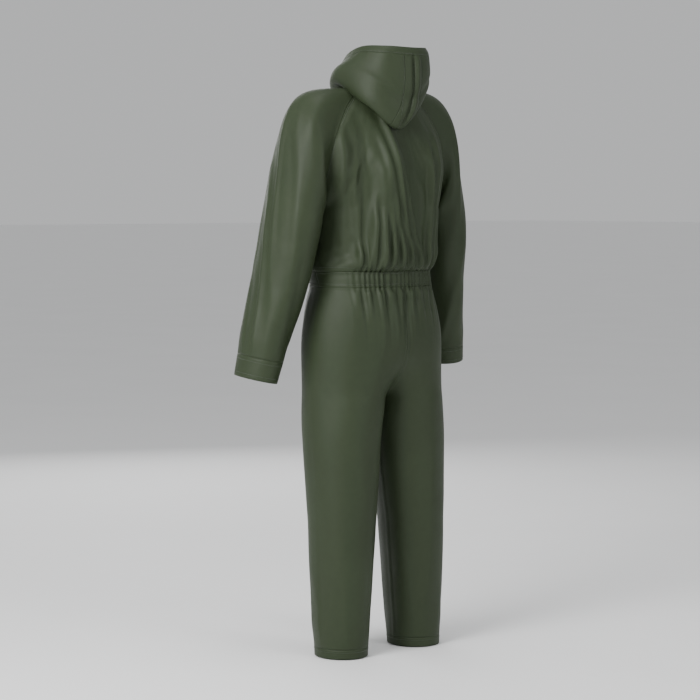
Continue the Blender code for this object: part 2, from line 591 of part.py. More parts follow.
def shell(name, rows, closed, body, finish="fabric", wall=FABRIC):
    """A fabric wall whose outer face runs through the rows of points."""
    bm = bmesh.new()
    grid = [[bm.verts.new(p) for p in row] for row in rows]
    columns = len(grid[0])
    for low, high in zip(grid, grid[1:]):
        for j in range(columns if closed else columns - 1):
            k = (j + 1) % columns
            bm.faces.new((low[j], low[k], high[k], high[j]))
    bm.normal_update()
    corners = [v.co for row in grid for v in row]
    core = sum(corners, Vector()) / len(corners)
    core.y = max(CORE_FRONT_Y, min(CORE_BACK_Y, core.y))
    if abs(core.x) < CORE_HALF_WIDTH and not closed:
        core = Vector((0, 0, core.z))
    if sum(f.normal.dot(f.calc_center_median() - core) * f.calc_area() for f in bm.faces) < 0:
        bmesh.ops.reverse_faces(bm, faces=bm.faces)
    mesh = bpy.data.meshes.new(name)
    bm.to_mesh(mesh)
    bm.free()
    mesh.shade_smooth()
    obj = add(name, mesh, body, finish)
    solid = obj.modifiers.new("wall", "SOLIDIFY")
    solid.thickness = wall
    solid.offset = -1.0
    return obj


def band(name, loops, body):
    """A hem ring between two level loops, with flat ends; its wall goes inwards in each loop's own plane."""
    bm = bmesh.new()
    inner = []
    for loop in loops:
        centre = sum(loop, Vector()) / len(loop)
        inner.append([p + (centre - p).normalized() * (FABRIC + FOLD) for p in loop])
    rings = [[bm.verts.new(p) for p in loop] for loop in (loops[0], loops[1], inner[1], inner[0])]
    for a, b in zip(rings, [*rings[1:], rings[0]]):
        join_loops(bm, a, b)
    return add(name, finished(bm, name), body)


def box(name, frame, centre, size, body, finish):
    bm = bmesh.new()
    bmesh.ops.create_cube(bm, size=1.0, matrix=Matrix.Translation(centre) @ Matrix.Diagonal((*size, 1)))
    return add(name, finished(bm, name, smooth=False), body, finish, frame)


def turned(name, profile, frame, body, finish, segments=12):
    """A round piece about the frame's -Y, from (radius, height) pairs that start and end on the axis."""
    bm = bmesh.new()
    rings = []
    for radius, height in profile:
        if radius == 0:
            rings.append([bm.verts.new((0, -height, 0))])
            continue
        turns = [2 * math.pi * k / segments for k in range(segments)]
        rings.append([bm.verts.new((radius * math.cos(a), -height, radius * math.sin(a))) for a in turns])
    for a, b in zip(rings, rings[1:]):
        for k in range(segments):
            j = (k + 1) % segments
            corners = [a[k % len(a)], a[j % len(a)], b[j % len(b)], b[k % len(b)]]
            bm.faces.new(list(dict.fromkeys(corners)))
    return add(name, finished(bm, name), body, finish, frame)


def cut(obj, point, normal, side, keep_beyond):
    """Cuts a shell square to a joint's axis, keeping the half beyond the plane or the half before it."""
    point = Vector((side * point[0], point[1], point[2]))
    normal = Vector((side * normal[0], normal[1], normal[2])).normalized()
    away = -normal if keep_beyond else normal
    bm = bmesh.new()
    bmesh.ops.create_cube(bm, size=2.0)
    turn = away.to_track_quat("Z", "Y").to_matrix().to_4x4()
    place = Matrix.Translation(point + away * (1.0 - JOINT_GAP)) @ turn
    blade = helper(obj.name + "_cutter", finished(bm, "cutter", smooth=False), obj.parent, place)
    boolean(obj, blade, "DIFFERENCE")


def empty(name, parent, place):
    obj = bpy.data.objects.new(name, None)
    bpy.context.scene.collection.objects.link(obj)
    obj.parent = parent
    obj.location = place
    return obj


def build():
    for obj in list(bpy.data.objects):
        bpy.data.objects.remove(obj, do_unlink=True)
    root = empty("coverall", None, -HANGER)
    bodies = {"torso": empty("torso", root, (0, 0, 0))}
    for side, label in ((1, "left"), (-1, "right")):
        bodies[f"leg_{label}"] = empty(f"leg_joint_{label}", root, mirrored(Vector(LEG_CUT_POINT), side))
        bodies[f"sleeve_{label}"] = empty(f"sleeve_joint_{label}", root, mirrored(Vector(SLEEVE_CUT_POINT), side))
    bodies["flap"] = empty("flap_joint", root, front_frame(FLAP_LOW, FLAP_LEFT, FLAP_OUT).translation)
    bodies["slider"] = empty("slider_joint", root, front_frame(SLIDER_Z).translation)
    bodies["pull"] = empty("pull_joint", root, front_frame(SLIDER_Z, out=PULL_OUT).translation)
    bpy.context.view_layer.update()
    build_bodice(bodies["torso"])
    build_sleeves(bodies)
    build_waist(bodies["torso"])
    build_trousers(bodies)
    build_hood(bodies["torso"])
    build_neck(bodies["torso"])
    build_hanger(bodies["torso"])
    build_zip(bodies)
    build_flap(bodies["flap"])
    build_gusset(bodies["torso"])
    build_studs(bodies)


build()
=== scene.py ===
"""Looks of the hooded waterproof coverall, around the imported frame."""
import math

import bpy
import numpy as np
from mathutils import Matrix, Vector, noise
from mathutils.bvhtree import BVHTree
from mathutils.kdtree import KDTree


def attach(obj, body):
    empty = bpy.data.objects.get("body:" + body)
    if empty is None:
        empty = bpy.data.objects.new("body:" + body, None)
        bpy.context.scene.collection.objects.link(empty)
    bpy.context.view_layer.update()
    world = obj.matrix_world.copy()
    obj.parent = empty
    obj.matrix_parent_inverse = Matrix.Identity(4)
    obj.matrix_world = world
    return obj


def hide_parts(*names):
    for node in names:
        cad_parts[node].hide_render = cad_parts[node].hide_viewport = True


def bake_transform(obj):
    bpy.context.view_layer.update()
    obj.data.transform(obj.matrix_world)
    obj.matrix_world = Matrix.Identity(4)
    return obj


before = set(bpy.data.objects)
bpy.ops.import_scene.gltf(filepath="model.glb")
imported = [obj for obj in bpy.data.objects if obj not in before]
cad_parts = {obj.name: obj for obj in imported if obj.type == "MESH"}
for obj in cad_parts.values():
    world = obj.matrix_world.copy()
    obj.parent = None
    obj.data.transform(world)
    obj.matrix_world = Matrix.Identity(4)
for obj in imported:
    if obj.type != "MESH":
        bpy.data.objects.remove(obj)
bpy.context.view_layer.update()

# ---------------------------------------------------------------- the garment's dimensions, as in the frame
WAIST_LOW, WAIST_HIGH = 1.031, 1.073
CROTCH_Z, RISE_Z, ARMPIT_Z = 0.72, 0.87, 1.246
FRONT_LOW_Z, FRONT_LOW_Y, FRONT_LEAN = 0.82, -0.148, 0.044
PLACKET_HALF, FLY_BOTTOM = 0.016, 0.835
ZIP_LOW, ZIP_HIGH = 0.845, 1.500
FLAP_LOW, FLAP_HIGH, FLAP_OUT = 0.850, 1.458, 0.0130
FLAP_LEFT, FLAP_RIGHT, FLAP_WALL = 0.041, -0.036, 0.0022
HANGER = np.array((0.0, 0.068, 1.578 + 0.022 - 0.0007))

TORSO = ((1.07, 0.188, 0.138), (1.15, 0.188, 0.149), (1.246, 0.194, 0.155), (1.35, 0.190, 0.152),
         (1.45, 0.160, 0.131), (1.52, 0.120, 0.105), (1.575, 0.090, 0.086))
HIPS = ((0.72, 0.224, 0.128, 0.136), (0.87, 0.218, 0.146, 0.158), (0.95, 0.207, 0.1425, 0.153),
        (1.031, 0.188, 0.1387, 0.138), (1.09, 0.186, 0.136, 0.140))
LEG = ((0.0, 0.135, 0.030, 0.072, 0.079), (0.37, 0.127, 0.024, 0.090, 0.098),
       (0.60, 0.119, 0.014, 0.106, 0.112), (0.72, 0.112, 0.008, 0.109, 0.128),
       (0.87, 0.110, 0.006, 0.108, 0.130), (1.04, 0.110, 0.006, 0.1, 0.130))
RAGLAN_LOOP = ((0.194, -0.018, 1.246), (0.207, 0.045, 1.318), (0.196, 0.074, 1.425), (0.140, 0.064, 1.525),
               (0.0786, 0.044, 1.576), (0.096, -0.012, 1.567), (0.083, -0.066, 1.549),
               (0.140, -0.090, 1.490), (0.190, -0.100, 1.395), (0.206, -0.076, 1.300))
SHOULDER_LOOP = ((0.199, -0.018, 1.237), (0.222, 0.056, 1.298), (0.236, 0.082, 1.395), (0.245, 0.066, 1.485),
                 (0.234, 0.034, 1.535), (0.236, -0.012, 1.544), (0.234, -0.056, 1.528),
                 (0.239, -0.090, 1.466), (0.231, -0.110, 1.375), (0.220, -0.086, 1.286))
LOOP_ANGLES = (0, 45, 90, 130, 160, 180, 200, 230, 270, 315)
BACK_HEIGHTS = ((0, 1.246), (1, 1.32), (2, 1.42), (3, 1.51), (4, 1.572))
FRONT_HEIGHTS = ((0, 1.246), (1, 1.30), (2, 1.38), (3, 1.46), (4, 1.522))
SLEEVE_TOP = ((0.248, -0.020, 1.3105), (0.891, 0.0, -0.454), 0.0948, 0.105)
SLEEVE_RINGS = (SLEEVE_TOP, ((0.268, -0.030, 1.195), (0.25, -0.10, -0.96), 0.066, 0.102),
                ((0.291, -0.053, 1.030), (0.14, -0.12, -0.98), 0.062, 0.095),
                ((0.312, -0.068, 0.900), (0.16, -0.12, -0.98), 0.059, 0.083))
CUFF_RINGS = {1: ((0.335, -0.083, 0.768), (0.17, -0.11, -0.98), 0.054, 0.071),
              -1: ((0.335, -0.083, 0.792), (0.17, -0.11, -0.98), 0.054, 0.071)}
# Levels of the rolled hood from its top edge to the neckline, each from the front edge to the back centre
HOOD = (
    ((0.024, -0.070, 1.618), (0.074, -0.028, 1.664), (0.098, 0.068, 1.690),
     (0.074, 0.146, 1.690), (0, 0.172, 1.687)),
    ((0.024, -0.078, 1.602), (0.081, -0.034, 1.648), (0.106, 0.069, 1.673),
     (0.080, 0.153, 1.670), (0, 0.180, 1.665)),
    ((0.024, -0.104, 1.572), (0.096, -0.052, 1.622), (0.124, 0.040, 1.640),
     (0.095, 0.142, 1.612), (0, 0.182, 1.585)),
    ((0.024, -0.118, 1.553), (0.101, -0.058, 1.602), (0.127, 0.020, 1.615),
     (0.094, 0.130, 1.565), (0, 0.168, 1.510)),
    ((0.024, -0.123, 1.543), (0.095, -0.060, 1.586), (0.120, 0.010, 1.597),
     (0.088, 0.114, 1.530), (0, 0.146, 1.464)),
    ((0.024, -0.121, 1.537), (0.086, -0.062, 1.574), (0.104, 0.000, 1.590),
     (0.078, 0.096, 1.548), (0, 0.128, 1.495)),
    ((0.022, -0.118, 1.530), (0.078, -0.066, 1.558), (0.093, -0.012, 1.578),
     (0.076, 0.047, 1.588), (0, 0.089, 1.584)),
    ((0.024, -0.119, 1.520), (0.0775, -0.066, 1.5475), (0.0945, -0.012, 1.566),
     (0.0775, 0.0455, 1.576), (0, 0.0885, 1.572)))

FRONT_COLUMNS, BACK_COLUMNS = 28, 44
COLUMNS = FRONT_COLUMNS + BACK_COLUMNS
# Rows up the raglan seam; the sleeve has the same spacing round the armhole
RAGLAN_STEPS = 32
SLEEVE_COLUMNS = RAGLAN_STEPS // 4 * 10
SIDES = ((1, "left"), (-1, "right"))
LEGS, BAND, BODICE, ARMS = range(4)              # the regions of the joined garment


# ---------------------------------------------------------------- curves
def cubic(a, b, c, d, t):
    """The smooth curve through b and c at t, from 0 to 1."""
    return 0.5 * (2 * b + (c - a) * t + (2 * a - 5 * b + 4 * c - d) * t * t
                  + (3 * b - 3 * c + d - a) * t ** 3)


def through(values, s):
    """The smooth curve through all the values at s, which counts them from 0."""
    last = len(values) - 1
    i = max(0, min(last - 1, math.floor(s)))
    before = values[i - 1] if i > 0 else 2 * values[0] - values[1]
    after = values[i + 2] if i + 2 <= last else 2 * values[last] - values[last - 1]
    return cubic(before, values[i], values[i + 1], after, s - i)


def station(table, z):
    """A table's measures at height z."""
    heights = [row[0] for row in table]
    i = max(0, min(len(table) - 2, sum(h <= z for h in heights) - 1))
    s = i + (z - heights[i]) / (heights[i + 1] - heights[i])
    return [through([row[k] for row in table], s) for k in range(1, len(table[0]))]


def around(loop, q):
    """The closed smooth curve through the loop's points at q, which counts them from 0."""
    i = math.floor(q)
    return cubic(*(np.array(loop[(i + k) % len(loop)]) for k in (-1, 0, 1, 2)), q - i)


def lengths_along(points):
    """The length of a polyline up to each of its points."""
    return np.concatenate(([0], np.cumsum(np.linalg.norm(np.diff(points, axis=0), axis=1))))


def resampled(points, count, first=0.0, last=0.0):
    """A polyline as `count` evenly spaced points, less a length at its first and at its last end."""
    points = np.asarray(points)
    lengths = lengths_along(points)
    at = np.linspace(first, lengths[-1] - last, count)
    return np.stack([np.interp(at, lengths, points[:, k]) for k in range(3)], axis=1)


def front_y(z):
    return FRONT_LOW_Y + FRONT_LEAN * (z - FRONT_LOW_Z)


def smooth(low, high, x):
    t = np.clip((np.asarray(x, float) - low) / (high - low), 0, 1)
    return t * t * (3 - 2 * t)


def bump(centre, width, x):
    return np.exp(-((np.asarray(x, float) - centre) / width) ** 2)


# ---------------------------------------------------------------- the base surface, as in the frame
def torso_row(q, back, count):
    """A row of the bodice from its side to the centre line: q is below 0 under the armhole, else 0 to 4."""
    if q < 0:
        z = ARMPIT_Z + q * (ARMPIT_Z - WAIST_HIGH)
        edge = np.array((station(TORSO, z)[0], -0.018, z))
        ease = 0.5
    else:
        edge = around(RAGLAN_LOOP, q if back else -q)
        z = station(BACK_HEIGHTS if back else FRONT_HEIGHTS, q)[0]
        ease = 0.5 + 0.3 * min(1.0, q)
    centre_y = station(TORSO, z)[1] if back else front_y(z)
    u = np.sin(np.linspace(0, np.pi / 2, 121))
    y = edge[1] + (centre_y - edge[1]) * np.clip(1 - u ** 2.3, 0, 1) ** ease
    row = np.stack((edge[0] * u, y, edge[2] + (z - edge[2]) * (1 - u * u)), axis=1)
    return resampled(row, count, 0.0 if back else PLACKET_HALF)


def section(z):
    """Half of the body at height z, from the front centre round the left side to the back centre."""
    k = np.linspace(0, 1, 241)
    spread = np.sin(np.pi * k) ** 0.87
    if z > WAIST_LOW:
        half, front, back = station(HIPS, z)
        reach = np.where(k < 0.5, front, back)
        points = np.stack((half * spread, -reach * np.cos(np.pi * k), np.full_like(k, z)), axis=1)
    else:
        x, y, half, deep = station(LEG, z)
        wide, front, back = station(HIPS, z)
        inner = 0.0 if z <= CROTCH_Z else 1.0
        if CROTCH_Z < z < RISE_Z:
            inner = math.sqrt(1 - ((RISE_Z - z) / (RISE_Z - CROTCH_Z)) ** 2)
        share = (inner + (smooth(0.56, 0.90, z) - inner) * spread)[:, None]
        turn = np.pi * np.where(k < 0.5, spread, 2 - spread)
        ring = np.stack((x - half * np.cos(turn), y - deep * np.sin(turn), np.full_like(k, z)), axis=1)
        reach = np.where(k < 0.5, front, back)
        hip = np.stack((wide * spread, -reach * np.cos(np.pi * k), np.full_like(k, z)), axis=1)
        points = ring * (1 - share) + hip * share
    first = PLACKET_HALF if z > FLY_BOTTOM else 0.0
    row = np.concatenate((resampled(points[:121], FRONT_COLUMNS + 1, first)[:-1],
                          resampled(points[120:], BACK_COLUMNS + 1)))
    if CROTCH_Z <= z <= WAIST_LOW:
        row[-1][0] = 0.0
        row[0][0] = row[0][0] if first else 0.0
    return row


def bodice_section(z):
    q = (z - ARMPIT_Z) / (ARMPIT_Z - WAIST_HIGH)
    front, back = torso_row(q, False, FRONT_COLUMNS + 1), torso_row(q, True, BACK_COLUMNS + 1)
    return np.concatenate((front[:-1], back[::-1]))


def ring_point(ring, q):
    """A point of an oval ring: q counts the same ten places as the raglan loop."""
    centre, along, half, deep = ring
    along = np.array(along) / np.linalg.norm(along)
    rear = np.array((0.0, 1.0, 0.0))
    rear = rear - along * rear.dot(along)
    rear /= np.linalg.norm(rear)
    outer = np.cross(rear, along)
    outer = outer if outer[0] > 0 else -outer
    i = math.floor(q) % 10
    low, high = LOOP_ANGLES[i], (*LOOP_ANGLES[1:], 360)[i]
    angle = math.radians(low + (high - low) * (q - math.floor(q)))
    return np.array(centre) - outer * half * math.cos(angle) + rear * deep * math.sin(angle)


CUFF_SPREAD = (0.012, 0.0, 0.010)   # the soft cuff stands this much farther out and up than the rigid shell


def sleeve_column(side, q):
    """From the raglan seam over the shoulder and down to the cuff's end; also each point's place along it."""
    cap = [around(RAGLAN_LOOP, q), around(SHOULDER_LOOP, q), ring_point(SLEEVE_TOP, q)]
    rings = [ring_point(ring, q) for ring in (*SLEEVE_RINGS, CUFF_RINGS[side])]
    beyond = through(rings, 0.3)
    cap_steps = np.linspace(0, 2, 15)[:-1]
    parts = [np.linspace(i, i + 1, n + 1)[:-1] for i, n in enumerate((10, 14, 11, 11))]
    arm_steps = np.concatenate([*parts, [4.0]])
    points = [through([*cap, beyond], s) for s in cap_steps] + [through(rings, s) for s in arm_steps]
    steps = np.concatenate((cap_steps - 2, arm_steps))
    spread = np.array([smooth(1.5, 4.0, step) for step in steps])
    return np.array(points) + spread[:, None] * np.array(CUFF_SPREAD), steps


# ---------------------------------------------------------------- the joined garment
class Cloth:
    """One grid for the whole garment. Each vertex keeps where it is: region, side, place across and along."""

    def __init__(self):
        self.points, self.facts, self.faces, self.panels, self.uvs, self.found = [], [], [], [], [], {}
        self.chains = {}

    def vertex(self, point, facts):
        key = tuple(np.round(point, 5))
        if key not in self.found:
            self.found[key] = len(self.points)
            self.points.append(point)
            self.facts.append(facts)
        return self.found[key]

    def grid(self, rows, facts, panel, wrap=False, flip=False, uv=None):
        index = [[self.vertex(p, f) for p, f in zip(row, fact)] for row, fact in zip(rows, facts)]
        for i in range(len(index) - 1):
            across = len(index[i])
            for j in range(across if wrap else across - 1):
                k = (j + 1) % across
                corners = [(i, j), (i, k), (i + 1, k), (i + 1, j)]
                if flip:
                    corners.reverse()
                quad = [index[a][b] for a, b in corners]
                if len(set(quad)) < 3:
                    continue
                width = [(j + 1 if b == k else j) if wrap else b for _, b in corners]
                spots = [(uv[a][w] if w < len(uv[a]) else uv[a][-1]) for (a, _), w in zip(corners, width)]
                keep = [n for n in range(4) if quad[n] not in quad[:n]]
                self.faces.append([quad[n] for n in keep])
                self.uvs.append([spots[n] for n in keep])
                self.panels.append(panel)
        return index


def metric(rows, wrap=False):
    """UV in metres for a grid of rows."""
    found = []
    height = 0.0
    for i, row in enumerate(rows):
        row = np.asarray(row)
        if wrap:
            row = np.concatenate((row, row[:1]))
        across = lengths_along(row)
        if i:
            height += np.linalg.norm(np.asarray(rows[i])[::6] - np.asarray(rows[i - 1])[::6], axis=1).mean()
        found.append([(a - across[-1] / 2, height) for a in across])
    return found


def heights(*stops):
    found = []
    for (low, high, count) in stops:
        found += list(np.linspace(low, high, count + 1)[:-1])
    return found


def flipped(rows, side):
    return [np.asarray(row) * (side, 1, 1) for row in rows]


def halves(cloth, rows, fact, uv, side, names):
    """The front and the back part of a band of rows, as two grids with one shared column."""
    found = []
    for cols, name in zip((slice(0, FRONT_COLUMNS + 1), slice(FRONT_COLUMNS, COLUMNS + 1)), names):
        row, facts, spots = ([line[cols] for line in lines] for lines in (rows, fact, uv))
        found.append(cloth.grid(row, facts, name, flip=side < 0, uv=spots))
    return found


def trouser(cloth, side, label):
    ring_z = heights((0.0, 0.025, 4), (0.025, CROTCH_Z, 56)) + [CROTCH_Z]
    rise = [RISE_Z - (RISE_Z - CROTCH_Z) * math.cos(math.pi / 2 * k / 12) for k in range(1, 12)]
    hip_z = [CROTCH_Z] + [z for z in rise if z < FLY_BOTTOM] + [FLY_BOTTOM, FLY_BOTTOM + 0.001]
    hip_z += [z for z in rise if z > FLY_BOTTOM]
    hip_z += heights((RISE_Z, 0.98, 9), (0.98, WAIST_LOW, 7)) + [WAIST_LOW]
    rings = flipped([section(z)[:-1] for z in ring_z], side)
    fact = [[(LEGS, side, j, z) for j in range(COLUMNS)] for z in ring_z]
    uv = metric(rings, True)
    hem = cloth.grid(rings[:5], fact[:5], f"leg_hem_{label}", wrap=True, flip=side < 0, uv=uv[:5])
    legs = cloth.grid(rings[4:], fact[4:], f"trouser_{label}", wrap=True, flip=side < 0, uv=uv[4:])
    rows = flipped([section(z) for z in hip_z], side)
    fact = [[(LEGS, side, j, z) for j in range(COLUMNS + 1)] for z in hip_z]
    hips = cloth.grid(rows, fact, f"trouser_{label}", flip=side < 0, uv=metric(rows))
    cloth.chains[f"leg_hem_{label}"] = hem[3] + hem[3][:1]
    cloth.chains[f"seat_{label}"] = [row[-1] for row in hips]
    cloth.chains[f"fly_{label}"] = [row[0] for row in hips if cloth.points[row[0]][2] < FLY_BOTTOM + 0.001]
    cloth.chains[f"inseam_{label}"] = [row[0] for row in legs]


def waistband(cloth, side, label):
    low, high = section(WAIST_LOW), bodice_section(WAIST_HIGH)
    rows = flipped([low + (high - low) * t for t in np.linspace(0, 1, 7)], side)
    fact = [[(BAND, side, j, z) for j in range(COLUMNS + 1)] for z in np.linspace(WAIST_LOW, WAIST_HIGH, 7)]
    bands = halves(cloth, rows, fact, metric(rows), side, (f"waistband_front_{label}", "waistband_back"))
    for part, band in zip(("front", "back"), bands):
        cloth.chains[f"band_low_{part}_{label}"] = band[0]
        cloth.chains[f"band_high_{part}_{label}"] = band[-1]


def bodice(cloth, side, label):
    body_z = heights((WAIST_HIGH, 1.13, 8), (1.13, ARMPIT_Z, 9)) + [ARMPIT_Z]
    rows = flipped([bodice_section(z) for z in body_z], side)
    fact = [[(BODICE, side, j, z) for j in range(COLUMNS + 1)] for z in body_z]
    uv = metric(rows)
    names = (f"front_panel_{label}", "back_panel")
    front, _ = halves(cloth, rows, fact, uv, side, names)
    cloth.chains[f"side_{label}"] = [row[-1] for row in front]
    for part, back, name in zip(("front", "back"), (False, True), names):
        count = (BACK_COLUMNS if back else FRONT_COLUMNS) + 1
        rows = [torso_row(4 * i / RAGLAN_STEPS, back, count) for i in range(RAGLAN_STEPS + 1)]
        rows = flipped([r[::-1] for r in rows] if back else rows, side)
        start = FRONT_COLUMNS if back else 0
        fact = [[(BODICE, side, start + j, row[j][2]) for j in range(count)] for row in rows]
        raised = [[(a, b + uv[-1][0][1]) for a, b in line] for line in metric(rows)]
        strip = cloth.grid(rows, fact, name, flip=side < 0, uv=raised)
        cloth.chains[f"neck_{part}_{label}"] = strip[-1]
        cloth.chains[f"raglan_{part}_{label}"] = [row[0 if back else -1] for row in strip]


def sleeve(cloth, side, label):
    columns = [sleeve_column(side, 10 * i / SLEEVE_COLUMNS) for i in range(SLEEVE_COLUMNS)]
    steps = columns[0][1]
    rows = flipped([np.array([points[k] for points, _ in columns]) for k in range(len(steps))], side)
    fact = [[(ARMS, side, i, step) for i in range(SLEEVE_COLUMNS)] for step in steps]
    uv = metric(rows, True)
    arm = cloth.grid(rows[:-5], fact[:-5], f"sleeve_{label}", wrap=True, flip=side < 0, uv=uv[:-5])
    cuff = cloth.grid(rows[-6:], fact[-6:], f"sleeve_hem_{label}", wrap=True, flip=side < 0, uv=uv[-6:])
    cloth.chains[f"cuff_{label}"] = cuff[1] + cuff[1][:1]
    cloth.chains[f"cuff_edge_{label}"] = cuff[-2] + cuff[-2][:1]
    cloth.chains[f"raglan_{label}"] = arm[0] + arm[0][:1]
    cloth.chains[f"cap_neck_{label}"] = arm[0][RAGLAN_STEPS:SLEEVE_COLUMNS - RAGLAN_STEPS + 1]


def build_cloth():
    cloth = Cloth()
    for side, label in SIDES:
        for part in (trouser, waistband, bodice, sleeve):
            part(cloth, side, label)
    cloth.points = np.array(cloth.points)
    cloth.facts = np.array(cloth.facts, float)
    return cloth


# ---------------------------------------------------------------- folds
def wander(a, b, c):
    return noise.noise(Vector((a, b, c)))


def ridged(value, sharpness=3.0):
    """A narrow crest wherever the value crosses zero."""
    return max(0.0, 1 - abs(value) * sharpness)


BACK_SEED, FRONT_SEED = 3.0, 17.0
BACK_FOLD_DEPTH = 1.35
# Folds of the back, fanning up from the waist: x and height of the foot, of the head, half width, depth
BACK_FOLDS = (
    (-0.062, 1.085, 0.052, 1.500, 0.0075, 0.0125), (-0.030, 1.080, 0.060, 1.470, 0.0065, 0.0120),
    (0.004, 1.080, 0.072, 1.450, 0.0070, 0.0115), (0.036, 1.080, 0.082, 1.480, 0.0065, 0.0105),
    (0.066, 1.080, 0.092, 1.440, 0.0080, 0.0120), (0.094, 1.080, 0.104, 1.500, 0.0075, 0.0105),
    (0.122, 1.080, 0.152, 1.400, 0.0085, 0.0120), (0.142, 1.100, 0.120, 1.470, 0.0190, -0.0170),
    (0.168, 1.080, 0.168, 1.330, 0.0140, -0.0130), (0.158, 1.100, 0.182, 1.520, 0.0090, 0.0080),
    (-0.045, 1.150, -0.010, 1.560, 0.0200, -0.0140), (-0.088, 1.080, -0.100, 1.430, 0.0080, 0.0120),
    (-0.114, 1.080, -0.136, 1.480, 0.0085, 0.0110), (-0.138, 1.080, -0.158, 1.440, 0.0090, 0.0110),
    (-0.100, 1.120, -0.118, 1.400, 0.0080, -0.0090), (0.020, 1.250, 0.064, 1.560, 0.0060, 0.0070),
    (0.080, 1.200, 0.128, 1.540, 0.0130, -0.0100), (-0.160, 1.100, -0.176, 1.360, 0.0100, -0.0100))


def back_fold(x, z):
    found = 0.0
    for foot_x, foot_z, head_x, head_z, width, depth in BACK_FOLDS:
        t = (z - foot_z) / (head_z - foot_z)
        if -0.05 < t < 1.1:
            bow = 0.10 * (head_x - foot_x) * math.sin(math.pi * max(0.0, min(1.0, t)))
            away = (x - foot_x - (head_x - foot_x) * t - bow) / (width * (1 + 0.7 * max(0.0, t)))
            found += depth * math.exp(-away * away) * smooth(-0.03, 0.16, t) * (1 - smooth(0.70, 1.08, t))
    return found


def from_centre(side, j):
    """Whether a column is on the back, its place from the centre line to the side, and a seed for its folds."""
    back = j > FRONT_COLUMNS
    share = (COLUMNS - j) / BACK_COLUMNS if back else j / FRONT_COLUMNS
    return back, side * share, BACK_SEED if back else FRONT_SEED


def bodice_folds(side, j, x, z):
    back, a, seed = from_centre(side, j)
    ridge = ridged(wander(a * 3.4 / (1 + z - WAIST_HIGH), z * 0.9, seed))
    wide = wander(a * 1.9 + 5, z * 1.0, seed + 4)
    up = (1 - 0.80 * smooth(1.30, 1.52, z)) * (1 if back else 1.5)
    edge = 1 - smooth(0.86, 1.0, abs(a)) * 0.8
    centre = 1 if back else smooth(0.1, 0.4, abs(a))
    found = (0.0040 * ridge + 0.0050 * wide) * up * edge * centre * smooth(WAIST_HIGH - 0.01, 1.12, z)
    found += (0.006 * bump(1.105, 0.035, z)) * centre
    return found + BACK_FOLD_DEPTH * back_fold(x, z) if back else found


def trouser_folds(side, j, z):
    _, a, seed = from_centre(side, j)
    ridge = ridged(wander(a * 3.1 + 0.3 * wander(z * 4, seed, 2), z * 1.3, seed + side))
    wide = wander(a * 1.7 + 9, z * 1.6, seed + 2 * side)
    hang = smooth(0.02, 0.10, z) * (1 - smooth(0.99, 1.03, z))
    inner = smooth(0.0, 0.12 if z < 0.86 else 0.05, min(j, COLUMNS - j) / COLUMNS)
    return (0.0032 * ridge + 0.0042 * wide) * hang * inner


def sleeve_folds(side, j, along, z):
    """Long folds that turn a little round the sleeve, the full shoulder, and a few creases at the elbow."""
    turn = 2 * math.pi * j / SLEEVE_COLUMNS
    ring = (math.cos(turn + 0.35 * along), math.sin(turn + 0.35 * along))
    ridge = ridged(wander(ring[0] * 1.15 + side * 3, ring[1] * 1.15 + 2, along * 0.26 + 7), 3.4)
    wide = wander(ring[0] * 0.9 + 4 * side, ring[1] * 0.9, along * 0.45 + 1)
    hang = smooth(-1.6, -0.2, along) * (1 - smooth(3.1, 3.6, along))
    found = (0.0052 * ridge + 0.0085 * wide) * hang
    top = SLEEVE_COLUMNS / 2
    if z > 1.45:
        found += 0.0100 * bump(-1.45, 0.50, along) * bump(top, SLEEVE_COLUMNS / 8, j)
    found += (0.018 - 0.004 * side) * bump(-0.35, 0.75, along) * bump(top, SLEEVE_COLUMNS / 6, j)
    elbow = wander(ring[0] * 2 + along * 2.2, ring[1] * 2, along * 2.0) * bump(1.55, 0.5, along)
    return found + 0.003 * elbow


def coarse_folds(cloth):
    """How far each vertex stands out of the base surface, from the long soft folds."""
    found = np.zeros(len(cloth.points))
    for i, ((x, _, z), (region, side, j, along)) in enumerate(zip(cloth.points, cloth.facts)):
        if region == LEGS:
            found[i] = trouser_folds(side, j, z)
        elif region == BODICE:
            found[i] = bodice_folds(side, j, x, z)
        elif region == ARMS:
            found[i] = sleeve_folds(side, j, along, z)
    return found


